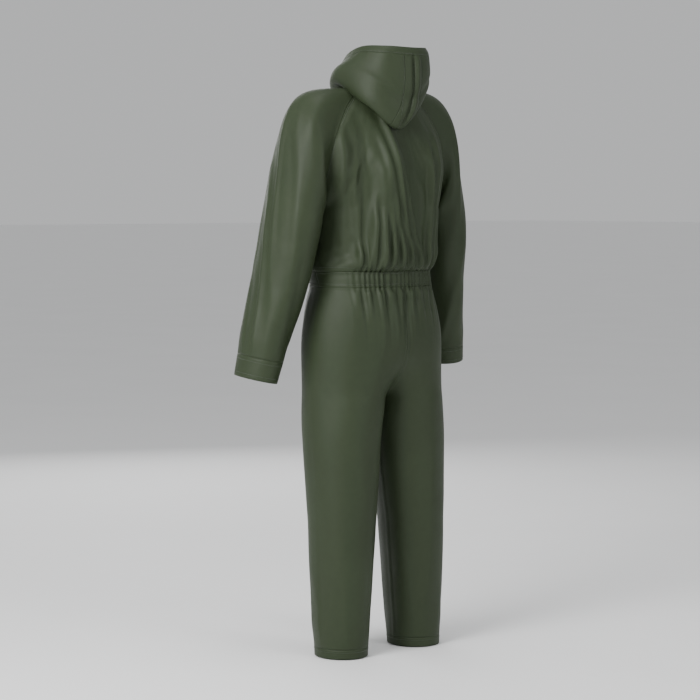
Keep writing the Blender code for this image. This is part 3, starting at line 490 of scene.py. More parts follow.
def gathers(points):
    """Outward displacement of the gathers that the waist elastic makes, above, on and below its band."""
    x, y, z = points.T
    found = np.zeros(len(points))
    near = np.where((z > 0.86) & (z < 1.34) & (y > 0.0) & (np.abs(x) < 0.20))[0]
    for i in near:
        px, pz = x[i], z[i]
        arc = 0.205 * math.asin(max(-1.0, min(1.0, px / 0.20)))
        held = 1 - smooth(0.125, 0.160, abs(px))
        if held <= 0:
            continue
        rise = pz - WAIST_HIGH if pz > WAIST_HIGH else (WAIST_LOW - pz if pz < WAIST_LOW else 0.0)
        above = pz > WAIST_HIGH
        drift = 0.35 * wander(arc * 30, pz * 4, 2.0)
        fine = math.sin(2 * math.pi * (arc / 0.0165 + drift + 1.2 * wander(arc * 14, 0.5, 4.0)))
        broad = math.sin(2 * math.pi * (arc / 0.037 + 0.5 * wander(arc * 9, pz * 3.0, 6.0)))
        size = 0.55 + 0.75 * abs(wander(arc * 22, 3.3, 8.0)) * 2
        if rise == 0:
            inside = (pz - WAIST_LOW) / (WAIST_HIGH - WAIST_LOW)
            found[i] = held * (0.0024 * fine * size - 0.0015 + 0.0022 * math.sin(math.pi * inside))
        else:
            reach = 0.055 if above else 0.045
            far = (0.16 if above else 0.085) * (0.6 + 0.9 * abs(wander(arc * 18, 1.0, 12.0)) * 1.6)
            waves = 0.0026 * fine * size * math.exp(-rise / reach)
            waves += 0.0044 * broad * smooth(0, 0.02, rise) * math.exp(-(rise / far) ** 2)
            puff = 0.003 * math.exp(-((rise - 0.018) / 0.016) ** 2)
            found[i] = held * (waves + puff - 0.0015 * math.exp(-rise / 0.006))
    return found


def seat_creases(points):
    """The sunk centre-back seam and a few soft pulls round the seat and the crotch."""
    x, y, z = points.T
    found = -0.0095 * bump(0, 0.009, x) * smooth(0.86, 0.95, z) * (1 - smooth(1.015, 1.031, z)) * (y > 0)
    for side in (1, -1):
        for slope, start, size in ((0.55, 0.735, 0.0035), (0.25, 0.775, 0.003), (0.9, 0.705, 0.0025)):
            out = side * x
            line = start - slope * (out - 0.01) * 0.8
            reach = smooth(0.01, 0.03, out) * (1 - smooth(0.06, 0.15, out))
            found += size * bump(0, 0.012, z - line) * reach * (out > 0) * (y > 0.02)
    return found


# ---------------------------------------------------------------- making objects
def new_object(name, points, faces, uvs=None, materials=()):
    mesh = bpy.data.meshes.new(name)
    mesh.from_pydata([tuple(p) for p in points], [], [tuple(f) for f in faces])
    if uvs is not None:
        layer = mesh.uv_layers.new(name="cut")
        flat = [c for face in uvs for spot in face for c in spot]
        layer.data.foreach_set("uv", flat)
    for made in materials:
        mesh.materials.append(made)
    mesh.shade_smooth()
    obj = bpy.data.objects.new(name, mesh)
    bpy.context.scene.collection.objects.link(obj)
    return obj


def applied(obj):
    """The object with its modifiers applied."""
    graph = bpy.context.evaluated_depsgraph_get()
    graph.update()
    mesh = bpy.data.meshes.new_from_object(obj.evaluated_get(graph), depsgraph=graph)
    old = obj.data
    obj.modifiers.clear()
    obj.data = mesh
    bpy.data.meshes.remove(old)
    return obj


def read_vectors(mesh, key):
    flat = np.empty(len(mesh.vertices) * 3, np.float32)
    mesh.vertices.foreach_get(key, flat)
    return flat.reshape(-1, 3).astype(float)


def coordinates(mesh):
    return read_vectors(mesh, "co")


def normals(mesh):
    return read_vectors(mesh, "normal")


def set_coordinates(mesh, points):
    mesh.vertices.foreach_set("co", np.asarray(points, np.float32).ravel())
    mesh.update()


# ---------------------------------------------------------------- finishes
class Nodes:
    """A short way to write a material's node tree."""

    def __init__(self, name):
        self.material = bpy.data.materials.new(name)
        self.material.use_nodes = True
        self.tree = self.material.node_tree
        self.shader = self.tree.nodes["Principled BSDF"]

    def add(self, kind, inputs=None, **settings):
        node = self.tree.nodes.new(kind)
        for key, value in settings.items():
            setattr(node, key, value)
        for key, value in (inputs or {}).items():
            if isinstance(value, bpy.types.NodeSocket):
                self.tree.links.new(value, node.inputs[key])
            else:
                node.inputs[key].default_value = value
        return node.outputs[0]

    def set(self, **values):
        for key, value in values.items():
            socket = self.shader.inputs[key.replace("_", " ")]
            if isinstance(value, bpy.types.NodeSocket):
                self.tree.links.new(value, socket)
            else:
                socket.default_value = value

    def mapped(self, value, low, high, out_low, out_high):
        return self.add("ShaderNodeMapRange", {0: value, 1: low, 2: high, 3: out_low, 4: out_high})

    def noise(self, vector, scale, detail=3.0):
        return self.add("ShaderNodeTexNoise", {"Vector": vector, "Scale": scale, "Detail": detail})

    def maths(self, operation, a, b=0.0):
        return self.add("ShaderNodeMath", {0: a, 1: b}, operation=operation)

    def tinted(self, value, colour):
        return self.add("ShaderNodeHueSaturation", {"Hue": 0.5, "Saturation": 1.0, "Value": value, "Fac": 1.0,
                                                    "Color": (*colour, 1)})

    def wave(self, vector, direction, distortion):
        """How far between its bands each place is, from 0 to 1."""
        colour = self.add("ShaderNodeTexWave", {"Vector": vector, "Scale": 0.5, "Distortion": distortion},
                          bands_direction=direction)
        return colour.node.outputs["Fac"]

    def spaces(self):
        """Object and UV coordinates."""
        node = self.tree.nodes.new("ShaderNodeTexCoord")
        return node.outputs["Object"], node.outputs["UV"]


def coated_fabric(name, colour, rough=0.52):
    """Knit fabric under a smooth coating: nearly plain, satin, with the knit just showing through."""
    made = Nodes(name)
    place, cut = made.spaces()
    broad = made.mapped(made.noise(place, 5.0, 4.0), 0.3, 0.7, -0.07, 0.07)
    fine = made.mapped(made.noise(place, 60.0, 3.0), 0.3, 0.7, -0.035, 0.035)
    tint = made.tinted(made.maths("ADD", made.maths("ADD", broad, fine), 1.0), colour)
    scaled = made.add("ShaderNodeMapping", {"Vector": cut, "Scale": (720.0, 900.0, 1.0)})
    across, up = made.wave(scaled, "X", 0.6), made.wave(scaled, "Y", 0.6)
    knit = made.maths("MULTIPLY", made.maths("MULTIPLY", across, up), 0.5)
    grain = made.maths("MULTIPLY", made.noise(place, 420.0, 2.0), 0.8)
    softness = made.maths("MULTIPLY", made.noise(place, 24.0, 4.0), 6.0)
    relief = made.maths("ADD", made.maths("ADD", knit, grain), softness)
    normal = made.add("ShaderNodeBump", {"Height": relief, "Strength": 0.28, "Distance": 0.0005})
    rub = made.mapped(made.noise(place, 9.0, 5.0), 0.3, 0.7, rough - 0.04, rough + 0.05)
    made.set(Base_Color=tint, Roughness=rub, Normal=normal, Specular_IOR_Level=0.22)
    return made.material


def woven(name, colour, pitch, rough=0.8):
    made = Nodes(name)
    place, cut = made.spaces()
    scaled = made.add("ShaderNodeMapping", {"Vector": cut, "Scale": (1 / pitch, 0.55 / pitch, 1.0),
                                            "Rotation": (0, 0, 0.5)})
    weave = made.maths("MAXIMUM", made.wave(scaled, "X", 0.4), made.wave(scaled, "Y", 0.4))
    speck = made.mapped(made.noise(place, 380.0, 2.0), 0.3, 0.7, -0.06, 0.06)
    tint = made.tinted(made.maths("ADD", made.mapped(weave, 0.0, 1.0, 0.72, 1.05), speck), colour)
    normal = made.add("ShaderNodeBump", {"Height": weave, "Strength": 0.7, "Distance": 0.0003})
    made.set(Base_Color=tint, Roughness=rough, Normal=normal, Sheen_Weight=0.25)
    return made.material


def moulded(name, colour, rough, metallic=0.0):
    made = Nodes(name)
    place, _ = made.spaces()
    rub = made.noise(place, 300.0, 4.0)
    cloud = made.mapped(made.noise(place, 40.0, 3.0), 0.3, 0.7, 0.9, 1.08)
    tint = made.tinted(made.maths("ADD", cloud, made.mapped(rub, 0.3, 0.7, -0.04, 0.04)), colour)
    normal = made.add("ShaderNodeBump", {"Height": rub, "Strength": 0.15, "Distance": 0.0002})
    made.set(Base_Color=tint, Roughness=made.mapped(rub, 0.3, 0.7, rough - 0.05, rough + 0.07),
             Metallic=metallic, Normal=normal)
    return made.material


GREEN = (0.0262, 0.0372, 0.0176)
FABRIC = coated_fabric("coated_fabric", GREEN)
THREAD = woven("sewing_thread", (0.040, 0.055, 0.034), 0.0006, 0.7)
ELASTIC = woven("elastic", (0.42, 0.42, 0.39), 0.0012)
WEBBING = woven("webbing", (0.034, 0.044, 0.029), 0.0009)
TAPE = woven("zip_tape", (0.030, 0.040, 0.026), 0.0008)
COIL = moulded("zip_coil", (0.014, 0.019, 0.012), 0.42)
METAL = moulded("zip_metal", (0.060, 0.066, 0.054), 0.36, 1.0)
PLASTIC = moulded("stud_plastic", (0.038, 0.052, 0.031), 0.33)


# ---------------------------------------------------------------- seams and stitching
STITCH, STITCH_GAP, THREAD_HALF = 0.0030, 0.0013, 0.0003


def dashes(name, line, surface, across=0.0, lift=0.0004):
    """A row of stitches along a polyline, laid on a surface and set off to one side of the line."""
    line = np.asarray(line, float)
    lengths = lengths_along(line)
    points, faces = [], []
    for start in np.arange(0.002, lengths[-1] - STITCH - 0.002, STITCH + STITCH_GAP):
        ends = []
        for at in (start, start + STITCH / 2, start + STITCH):
            place = Vector([np.interp(at, lengths, line[:, k]) for k in range(3)])
            ahead = Vector([np.interp(min(at + 0.004, lengths[-1]), lengths, line[:, k]) for k in range(3)])
            behind = Vector([np.interp(max(at - 0.004, 0), lengths, line[:, k]) for k in range(3)])
            near, normal, _, _ = surface.find_nearest(place)
            side = (ahead - behind).cross(normal).normalized()
            near, normal, _, _ = surface.find_nearest(place + side * across)
            ends.append((near, normal, side))
        base = len(points)
        for (near, normal, side), rise in zip(ends, (-0.6, 1.0, -0.6)):
            centre = near + normal * (lift + THREAD_HALF * rise)
            for a, b in ((-1, 0), (0, 1), (1, 0), (0, -1)):
                points.append(centre + side * a * THREAD_HALF * 1.2 + normal * b * THREAD_HALF)
        for ring in (0, 1):
            for k in range(4):
                j = (k + 1) % 4
                a, b = base + ring * 4 + k, base + ring * 4 + j
                faces.append((a, b, b + 4, a + 4))
        faces.append(tuple(base + k for k in range(4)))
        faces.append(tuple(base + 8 + k for k in range(4)))
    spots = [[(points[i][0], points[i][2]) for i in face] for face in faces]
    return new_object(name, points, faces, spots, [THREAD])


def join(first, *others):
    chosen = [first, *others]
    with bpy.context.temp_override(active_object=first, object=first, selected_objects=chosen,
                                   selected_editable_objects=chosen):
        bpy.ops.object.join()
    return first


def solid(obj, wall, offset=-1.0):
    change = obj.modifiers.new("wall", "SOLIDIFY")
    change.thickness = wall
    change.offset = offset
    change.use_even_offset = False
    return applied(obj)


# ---------------------------------------------------------------- the garment's fabric
PANELS = ("back_panel", "front_panel_left", "front_panel_right", "sleeve_left", "sleeve_right",
          "sleeve_hem_left", "sleeve_hem_right", "waistband_back", "waistband_front_left",
          "waistband_front_right", "trouser_left", "trouser_right", "leg_hem_left", "leg_hem_right")
WALL = 0.0009


def whole_garment():
    cloth = build_cloth()
    obj = new_object("garment", cloth.points, cloth.faces, cloth.uvs, [None] * len(PANELS))
    obj.data.polygons.foreach_set("material_index", [PANELS.index(p) for p in cloth.panels])
    base = coordinates(obj.data)
    outward = normals(obj.data)
    moved = base + outward * (coarse_folds(cloth) + seat_creases(base))[:, None]
    set_coordinates(obj.data, moved)
    return cloth, obj, base, outward


SETTLE_FRAMES, SETTLE_LIMIT, SETTLE_SAG = 16, 0.016, 0.05
SETTLE_EASING, CROTCH_EASING = 24, 12
CLOTH_RULES = {"quality": 4, "mass": 0.05, "air_damping": 4.0, "tension_stiffness": 12.0,
               "compression_stiffness": 12.0, "shear_stiffness": 4.0, "bending_stiffness": 1.2,
               "vertex_group_mass": "held", "pin_stiffness": 1.0, "shrink_min": -0.012}


def held_share(region, j, along, z):
    """How firmly the simulation holds a vertex: fully at the waistband, the neck and the front edges."""
    if region == ARMS and z > 1.50:
        return 0.6
    if region == BAND or (region == BODICE and (z > 1.50 or j == 0)):
        return 1.0
    if z < 0.06 or (region == ARMS and along > 3.4):
        return 0.75
    return 0.22


def settle_cloth(cloth, obj, inside):
    """A short cloth simulation over the inner form: fabric cut a little full, so it buckles and hangs."""
    scene = bpy.context.scene
    mesh = obj.data
    start = coordinates(mesh)
    core = obj.copy()
    core.data = mesh.copy()
    core.name = "inner_form"
    scene.collection.objects.link(core)
    set_coordinates(core.data, inside)
    core.modifiers.new("collision", "COLLISION")
    core.collision.thickness_outer = 0.002
    held = obj.vertex_groups.new(name="held")
    for i, (region, _, j, along) in enumerate(cloth.facts):
        held.add([i], held_share(region, j, along, cloth.points[i][2]), "REPLACE")
    change = obj.modifiers.new("cloth", "CLOTH")
    for key, value in CLOTH_RULES.items():
        setattr(change.settings, key, value)
    change.collision_settings.use_collision = True
    change.collision_settings.collision_quality = 1
    change.collision_settings.distance_min = 0.002
    change.collision_settings.use_self_collision = False
    change.point_cache.frame_start = 1
    change.point_cache.frame_end = SETTLE_FRAMES
    scene.frame_start, scene.frame_end = 1, SETTLE_FRAMES
    for frame_number in range(1, SETTLE_FRAMES + 1):
        scene.frame_set(frame_number)
    graph = bpy.context.evaluated_depsgraph_get()
    hung = coordinates(obj.evaluated_get(graph).data)
    obj.modifiers.remove(change)
    obj.vertex_groups.clear()
    scene.frame_set(1)
    bpy.data.objects.remove(core, do_unlink=True)
    moved = eased(mesh, (hung - start) * (1.0, 1.0, SETTLE_SAG), SETTLE_EASING, limb_share(cloth))
    far = np.linalg.norm(moved, axis=1, keepdims=True)
    keep = np.minimum(1.0, SETTLE_LIMIT / np.maximum(far, 1e-9))
    set_coordinates(mesh, eased(mesh, start + moved * keep, CROTCH_EASING, crotch_share(cloth)))


def eased(mesh, values, rounds, share):
    """Each vertex's value, drawn by its share to its neighbours' mean, so that only long folds stay."""
    ends = np.empty(len(mesh.edges) * 2, dtype=np.int32)
    mesh.edges.foreach_get("vertices", ends)
    a, b = ends.reshape(-1, 2).T
    count = np.bincount(ends, minlength=len(values))[:, None]
    for _ in range(rounds):
        total = np.zeros_like(values)
        np.add.at(total, a, values[b])
        np.add.at(total, b, values[a])
        values = values + share[:, None] * (total / count - values)
    return values


def limb_share(cloth):
    """Sleeves and legs of this stiff coated fabric keep only long folds; the gathered back keeps more."""
    return np.array([{LEGS: 0.5, BAND: 0.0, BODICE: 0.06, ARMS: 0.5}[fact[0]] for fact in cloth.facts])


def crotch_share(cloth):
    """Around the level where the hips part into two legs."""
    return np.array([0.5 * bump(0.775, 0.11, point[2]) if fact[0] == LEGS else 0.0
                     for point, fact in zip(cloth.points, cloth.facts)])


def seam_relief(points, lines):
    """Lapped seams: a low welt beside the line, with the fabric drawn in a little along it."""
    tree = seam_tree(lines)
    found = np.zeros(len(points))
    for i, point in enumerate(points):
        _, _, away = tree.find(point)
        if away < 0.03:
            pull = 0.5 + 0.5 * wander(point[0] * 34, point[1] * 34, point[2] * 34)
            welt = 0.0007 * math.exp(-(away / 0.004) ** 2)
            found[i] = welt - 0.0010 * pull * math.exp(-((away - 0.010) / 0.006) ** 2)
    return found


def seam_tree(lines):
    dense = np.concatenate([resampled(line, max(2, int(lengths_along(line)[-1] / 0.002))) for line in lines])
    tree = KDTree(len(dense))
    for i, point in enumerate(dense):
        tree.insert(point, i)
    tree.balance()
    return tree


def finer(obj):
    change = obj.modifiers.new("finer", "SUBSURF")
    change.levels = 1
    change.boundary_smooth = "PRESERVE_CORNERS"
    return applied(obj)


def refine(cloth, obj):
    """Twice as fine, then the gathers and the seams, which the coarse grid can't carry."""
    coarse = coordinates(obj.data)
    lines = {name: coarse[chain] for name, chain in cloth.chains.items()}
    finer(obj)
    points = coordinates(obj.data)
    outward = normals(obj.data)
    plain = ("cuff", "leg_hem", "neck", "cap_neck")
    seams = [line for name, line in lines.items() if len(line) > 1 and not name.startswith(plain)]
    points += outward * (gathers(points) + seam_relief(points, seams))[:, None]
    set_coordinates(obj.data, points)
    return lines


def parted(obj, names):
    """One object for each material index of a joined mesh."""
    mesh = obj.data
    points = coordinates(mesh)
    layer = mesh.uv_layers[0].data
    spots = np.empty(len(layer) * 2, np.float32)
    layer.foreach_get("uv", spots)
    spots = spots.reshape(-1, 2)
    groups = [[] for _ in names]
    for face in mesh.polygons:
        groups[face.material_index].append(face)
    found = {}
    for name, faces in zip(names, groups):
        index = {}
        corners = [[index.setdefault(v, len(index)) for v in face.vertices] for face in faces]
        uvs = [[spots[i] for i in face.loop_indices] for face in faces]
        found[name] = new_object(name, [points[v] for v in index], corners, uvs, [FABRIC])
    return found


cloth, garment, base_points, base_outward = whole_garment()
settle_cloth(cloth, garment, base_points - base_outward * 0.010)
lines = refine(cloth, garment)
surface = BVHTree.FromObject(garment, bpy.context.evaluated_depsgraph_get())
panels = parted(garment, PANELS)

# ---------------------------------------------------------------- hood
HOOD_COLUMNS, HOOD_ROWS, HOOD_HEM_ROWS = 56, 44, 5
CENTRE_HALF, HOOD_ROUND = 0.030, 0.62
LEVEL_POINTS = 81
HOOD_PIECES = ("hood_hem", "hood_centre", "hood_side_left", "hood_side_right")


def level_curve(level):
    """One level of the hood, from its front edge round the left to the back centre."""
    controls = [np.array(p, float) for p in level]
    beyond = [*controls, controls[-2] * (-1, 1, 1)]
    return [through(beyond, s) for s in np.linspace(0, 4, LEVEL_POINTS)]


def hood_grid():
    """The left half of the hood, row by row from the top edge to the neckline."""
    levels = [level_curve(level) for level in HOOD]
    columns = [[level[k] for level in levels] for k in range(LEVEL_POINTS)]
    hem = [resampled([through(c, s) for s in np.linspace(0, 1, 20)], HOOD_HEM_ROWS) for c in columns]
    body = [resampled([through(c, s) for s in np.linspace(1, 7, 110)], HOOD_ROWS) for c in columns]
    rows = [[column[k] for column in hem] for k in range(HOOD_HEM_ROWS)]
    rows += [[column[k] for column in body] for k in range(1, HOOD_ROWS)]
    return [hood_row(row) for row in rows]


def hood_row(row):
    """A row's points: even along the side, then even over half of the centre strip."""
    row = np.asarray(row)
    side = resampled(row, HOOD_COLUMNS + 1, 0.0, CENTRE_HALF)
    centre = resampled(row, 9, lengths_along(row)[-1] - CENTRE_HALF, 0.0)
    return np.concatenate((side[:-1], centre))


def to_neckline(points, at, last, count, neckline):
    """Brings the hood's lowest rows to the neckline, where the hood is sewn in."""
    tree = seam_tree(neckline)
    for j in range(count):
        low = at[last, j]
        near = np.array(tree.find(points[low])[0])
        shift = near - points[low]
        points[low] = near
        for back, share in ((1, 0.75), (2, 0.45), (3, 0.20)):
            n = at[last - back, j]
            points[n] = points[n] + shift * share


def build_hood(neckline):
    """The hood as one folded sheet, parted at its seams; also its surface and the lines of its seams."""
    half = hood_grid()
    across, last = len(half[0]), len(half) - 1
    count = 2 * across - 1
    points, faces, kinds, uvs, at = [], [], [], [], {}
    uv = metric(half)
    for i, row in enumerate(half):
        for j in range(count):
            at[i, j] = len(points)
            points.append(row[min(j, count - 1 - j)] * (1 if j < across else -1, 1, 1))
    to_neckline(points, at, last, count, neckline)
    for i in range(last):
        for j in range(count - 1):
            corners = ((i, j), (i + 1, j), (i + 1, j + 1), (i, j + 1))
            faces.append(tuple(at[corner] for corner in corners))
            if i < HOOD_HEM_ROWS - 1:
                kinds.append(0)
            elif min(j, count - 2 - j) >= HOOD_COLUMNS:
                kinds.append(1)
            else:
                kinds.append(2 if j < across else 3)
            spots = [(uv[a][min(b, count - 1 - b)], 1 if b < across else -1) for a, b in corners]
            uvs.append([(u * side, -v) for (u, v), side in spots])
    obj = new_object("hood", points, faces, uvs, [None] * len(HOOD_PIECES))
    obj.data.polygons.foreach_set("material_index", kinds)
    base = coordinates(obj.data)
    out = normals(obj.data)
    found = np.zeros(len(base))
    shift = np.zeros((len(base), 3))
    for (i, j), n in at.items():
        down = i / last
        found[n] = hood_fold(down, j / (count - 1))
        shift[n] = hood_shift(base[n][1], down)
    set_coordinates(obj.data, base + out * found[:, None] + shift)
    finer(obj)
    sheet_surface = BVHTree.FromObject(obj, bpy.context.evaluated_depsgraph_get())
    pieces = parted(obj, HOOD_PIECES)
    bpy.data.objects.remove(obj, do_unlink=True)
    rows = {"hem": [base[at[HOOD_HEM_ROWS - 1, j]] for j in range(count)]}
    for label, j in (("left", HOOD_COLUMNS), ("right", count - 1 - HOOD_COLUMNS)):
        rows[label] = [base[at[i, j]] for i in range(HOOD_HEM_ROWS - 1, last + 1)]
    return pieces, sheet_surface, rows


def hood_shift(y, down):
    """The rolled part of the hood leans to one side and sags at the back."""
    low = smooth(0.35, 0.62, down) * (1 - smooth(0.72, 0.86, down))
    sag = -0.016 * smooth(0.30, 0.60, down) * (1 - smooth(0.74, 0.92, down)) * bump(0.045, 0.06, y)
    return 0.026 * low * smooth(0.02, 0.14, y), -0.003 * bump(0.45, 0.2, down) * bump(0.03, 0.06, y), sag


def hood_fold(down, turn):
    """How far the hood's fabric stands out: puckers under the hem, soft waves and a crease at the middle.

    `down` goes from the top edge to the neckline, and `turn` from the left front edge to the right one.
    """
    arc = (0.5 - turn) * HOOD_ROUND      # metres from the back centre, the left positive
    pucker = math.sin(2 * math.pi * (arc / 0.024 + 0.6 * wander(arc * 20, 1.0, 3.0)))
    held = bump(0.10, 0.040, down) * smooth(0.06, 0.16, abs(arc))
    found = 0.0009 * pucker * held * (0.4 + 2.0 * abs(wander(arc * 9, 2.0, 5.0)))
    free = smooth(0.06, 0.25, down) * (1 - smooth(0.78, 0.95, down))
    found += 0.0034 * wander(arc * 4.5, down * 1.3, 11.0) * free
    found += 0.0022 * wander(arc * 10 + down * 3, down * 2.5, 15.0) * free
    crease = (-0.0105 * bump(0.001, 0.0032, arc) + 0.0062 * bump(-0.018, 0.012, arc)
              + 0.0015 * bump(0.016, 0.010, arc))
    found += crease * (1 - smooth(0.50, 0.62, down)) * smooth(0.06, 0.14, down)
    bulge = 0.004 * bump(0.50, 0.06, down) - 0.0045 * bump(0.40, 0.035, down + 0.6 * abs(arc - 0.03))
    found += bulge * smooth(0.14, 0.06, abs(arc))
    return float(found)


# ---------------------------------------------------------------- tapes, loop and elastic
def lattice(name, points, across, along, finish):
    """A sheet over points given row by row, with the flat places of its columns and of its rows."""
    n = len(across)
    faces, uvs = [], []
    for i in range(len(along) - 1):
        for j in range(n - 1):
            a = i * n + j
            faces.append((a, a + 1, a + n + 1, a + n))
            uvs.append([(across[j], along[i]), (across[j + 1], along[i]),
                        (across[j + 1], along[i + 1]), (across[j], along[i + 1])])
    return new_object(name, points, faces, uvs, [finish])


def ribbon(name, line, across, half_width, wall, finish):
    """A band of tape along a polyline, with its width along `across` at each point."""
    line, across = np.asarray(line, float), np.asarray(across, float)
    shares = np.linspace(-1, 1, 5)
    points = [p + w * half_width * share for p, w in zip(line, across) for share in shares]
    return solid(lattice(name, points, half_width * shares, lengths_along(line), finish), wall, 0.0)


def inward(point, middle_y):
    """The level direction from a point to the middle of the garment."""
    found = np.array((-point[0], middle_y - point[1], 0.0))
    return found / np.linalg.norm(found)


def neck_tape():
    half = resampled(level_curve(HOOD[6]), 70, 0.004)
    line = []
    for i, p in enumerate([*half, *(half[::-1][1:] * (-1, 1, 1))]):
        line.append(p + inward(p, -0.010) * (0.0062 + 0.0005 * wander(i * 0.21, 1.0, 2.0)) + (0, 0, 0.010))
    return ribbon("neck_band", line, [(0, 0, 1)] * len(line), 0.0078, 0.0010, WEBBING)


def hanger():
    line, across = [], []
    for a in np.linspace(0, math.pi, 60):
        lift = 0.0009 * math.sin(3 * a)
        line.append((0.032 * math.cos(a), 0.068 + lift * 0.4, 1.578 + 0.022 * math.sin(a)))
        across.append((0.03 * math.sin(2 * a), 1, 0))
    return ribbon("hanger_loop", line, across, 0.0042, 0.0012, WEBBING)


def elastic_band():
    row = section(WAIST_LOW + 0.0001)[FRONT_COLUMNS:]
    full = resampled(np.concatenate((row, (row * (-1, 1, 1))[::-1][1:])), 400, 0.012, 0.012)
    line = []
    for i, p in enumerate(full):
        x, y, _ = p + inward(p, 0.0) * (0.0095 + 0.0003 * math.sin(i * 1.3))
        line.append((x, y, 1.052))
    return ribbon("waist_elastic", line, [(0, 0, 1)] * len(line), 0.0165, 0.0011, ELASTIC)


# ---------------------------------------------------------------- front fastening
UP = np.array((0.0, FRONT_LEAN, 1.0)) / math.sqrt(1 + FRONT_LEAN ** 2)
OUT = np.array((0.0, -1.0, FRONT_LEAN)) / math.sqrt(1 + FRONT_LEAN ** 2)
SIDE = np.array((1.0, 0.0, 0.0))


def front_at(x, out, z):
    return np.array((0.0, front_y(z), z)) + SIDE * x + OUT * out


def front_grid(name, xs, outs, zs, finish, wall):
    """A sheet on the front line: `outs(x, z)` is how far it stands out."""
    points = [front_at(x, outs(x, z), z) for z in zs for x in xs]
    return solid(lattice(name, points, xs, zs, finish), wall, 0.0)


def zip_parts():
    made = []
    zs = np.linspace(ZIP_LOW, ZIP_HIGH, 220)
    for side, label in SIDES:
        def lie(x, z, side=side):
            return 0.0018 - 0.0036 + 0.0002 * wander(z * 40, side, 1.0) * abs(x) / 0.015
        xs = np.array(sorted(side * v for v in np.linspace(0.0034, 0.0152, 7)))
        made.append(front_grid(f"zip_tape_{label}", xs, lie, zs, TAPE, 0.0007))
    return made


def fly_shield():
    """The strip of fabric behind the zip, which turns in under its lower end."""
    def lie(x, z):
        return -0.0044 - 0.011 * (1 - smooth(0.834, 0.850, z)) + 0.0005 * wander(x * 40, z * 25, 2.0)
    xs = np.linspace(-0.019, 0.019, 15)
    zs = np.linspace(0.828, ZIP_HIGH + 0.004, 200)
    return front_grid("fly_shield", xs, lie, zs, FABRIC, 0.0009)


def coil(side, label):
    """One half of the zip's coil: a loop of stiff filament for every 2 mm, its head past the middle."""
    points, faces = [], []
    length = (ZIP_HIGH - ZIP_LOW) * math.sqrt(1 + FRONT_LEAN ** 2)
    pitch, half = 0.0023, 0.00042
    path = ((0.0031, -0.0017), (0.0010, -0.0019), (0.00015, -0.0010), (0.0010, -0.0001), (0.0031, -0.0003))
    for n in range(int(length / pitch)):
        at = (n + (0.0 if side > 0 else 0.5)) * pitch + 0.0006
        z = ZIP_LOW + at / math.sqrt(1 + FRONT_LEAN ** 2)
        base = len(points)
        for k, (x, out) in enumerate(path):
            centre = front_at(side * x, out, z)
            before, after = path[max(0, k - 1)], path[min(len(path) - 1, k + 1)]
            along = SIDE * side * (after[0] - before[0]) + OUT * (after[1] - before[1])
            along /= np.linalg.norm(along)
            across = np.cross(along, UP)
            for turn in range(6):
                a = 2 * math.pi * turn / 6
                points.append(centre + across * half * math.cos(a) + UP * half * math.sin(a))
        for k in range(len(path) - 1):
            for turn in range(6):
                a, b = base + k * 6 + turn, base + k * 6 + (turn + 1) % 6
                faces.append((a, b, b + 6, a + 6))
        faces.append(tuple(base + t for t in range(6)))
        faces.append(tuple(base + 24 + t for t in range(6)))
    return new_object(f"zip_coil_{label}", points, faces, None, [COIL])


STUD_HEIGHTS = (0.885, 1.015, 1.150, 1.290, 1.430)
FLAP_CORNER = 0.010


def flap_out(x, z):
    """The storm flap's middle surface: nearly flat, with soft waves between the studs."""
    wave = 0.0016 * wander(x * 9, z * 9, 4.0) + 0.0008 * wander(x * 25, z * 16, 7.0)
    near = min(abs(z - stud) for stud in STUD_HEIGHTS)
    calm = 1 - math.exp(-(near / 0.018) ** 2) * smooth(-0.012, -0.030, x)
    calm *= smooth(FLAP_LEFT + 0.001, FLAP_LEFT - 0.012, x)
    hem = 0.0003 if x < FLAP_RIGHT + 0.009 else 0.0
    return FLAP_OUT + FLAP_WALL / 2 + wave * calm + hem


def storm_flap():
    """The flap with its two free corners rounded, and a row of stitches along its free edges."""
    xs = np.linspace(FLAP_RIGHT, FLAP_LEFT, 40)
    zs = np.linspace(FLAP_LOW, FLAP_HIGH, 240)
    points = []
    for z in zs:
        within = max(0.0, FLAP_CORNER - min(z - FLAP_LOW, FLAP_HIGH - z))
        low = FLAP_RIGHT + FLAP_CORNER - math.sqrt(max(0.0, FLAP_CORNER ** 2 - within ** 2))
        for x in low + (FLAP_LEFT - low) * np.arange(len(xs)) / (len(xs) - 1):
            points.append(front_at(x, flap_out(x, z), z))
    flap = lattice("storm_flap_cloth", points, xs, zs, FABRIC)
    face = BVHTree.FromObject(flap, bpy.context.evaluated_depsgraph_get())
    right, low, high = FLAP_RIGHT + 0.007, FLAP_LOW + 0.007, FLAP_HIGH - 0.007
    rows = [[front_at(right, FLAP_OUT + 0.002, z) for z in np.linspace(low, high, 80)]]
    for z in (low, high):
        rows.append([front_at(x, FLAP_OUT + 0.002, z) for x in np.linspace(right, FLAP_LEFT - 0.004, 20)])
    sewn = [dashes("flap_stitches", row, face, 0.0, 0.0012) for row in rows]
    return join(solid(flap, 0.0018, 0.0), *sewn)


def gusset():
    """The narrow strip that joins the flap's sewn edge to the front."""
    zs = np.linspace(FLAP_LOW, FLAP_HIGH, 160)
    outs = np.linspace(0.0004, 0.0100, 6)
    points = []
    for z in zs:
        for out in outs:
            sway = 0.0010 * wander(z * 30, out * 50, 3.0) * math.sin(math.pi * (out / 0.010))
            points.append(front_at(FLAP_LEFT + 0.0007 + sway, out, z))
    return solid(lattice("flap_gusset_cloth", points, outs, zs, FABRIC), 0.0011, 0.0)


# ---------------------------------------------------------------- putting it together
def stitched(obj, rows, face):
    """The panel with rows of stitches along given lines, each with its distance to the side of the line."""
    return join(obj, *[dashes("stitches", line, face, across) for line, across in rows])


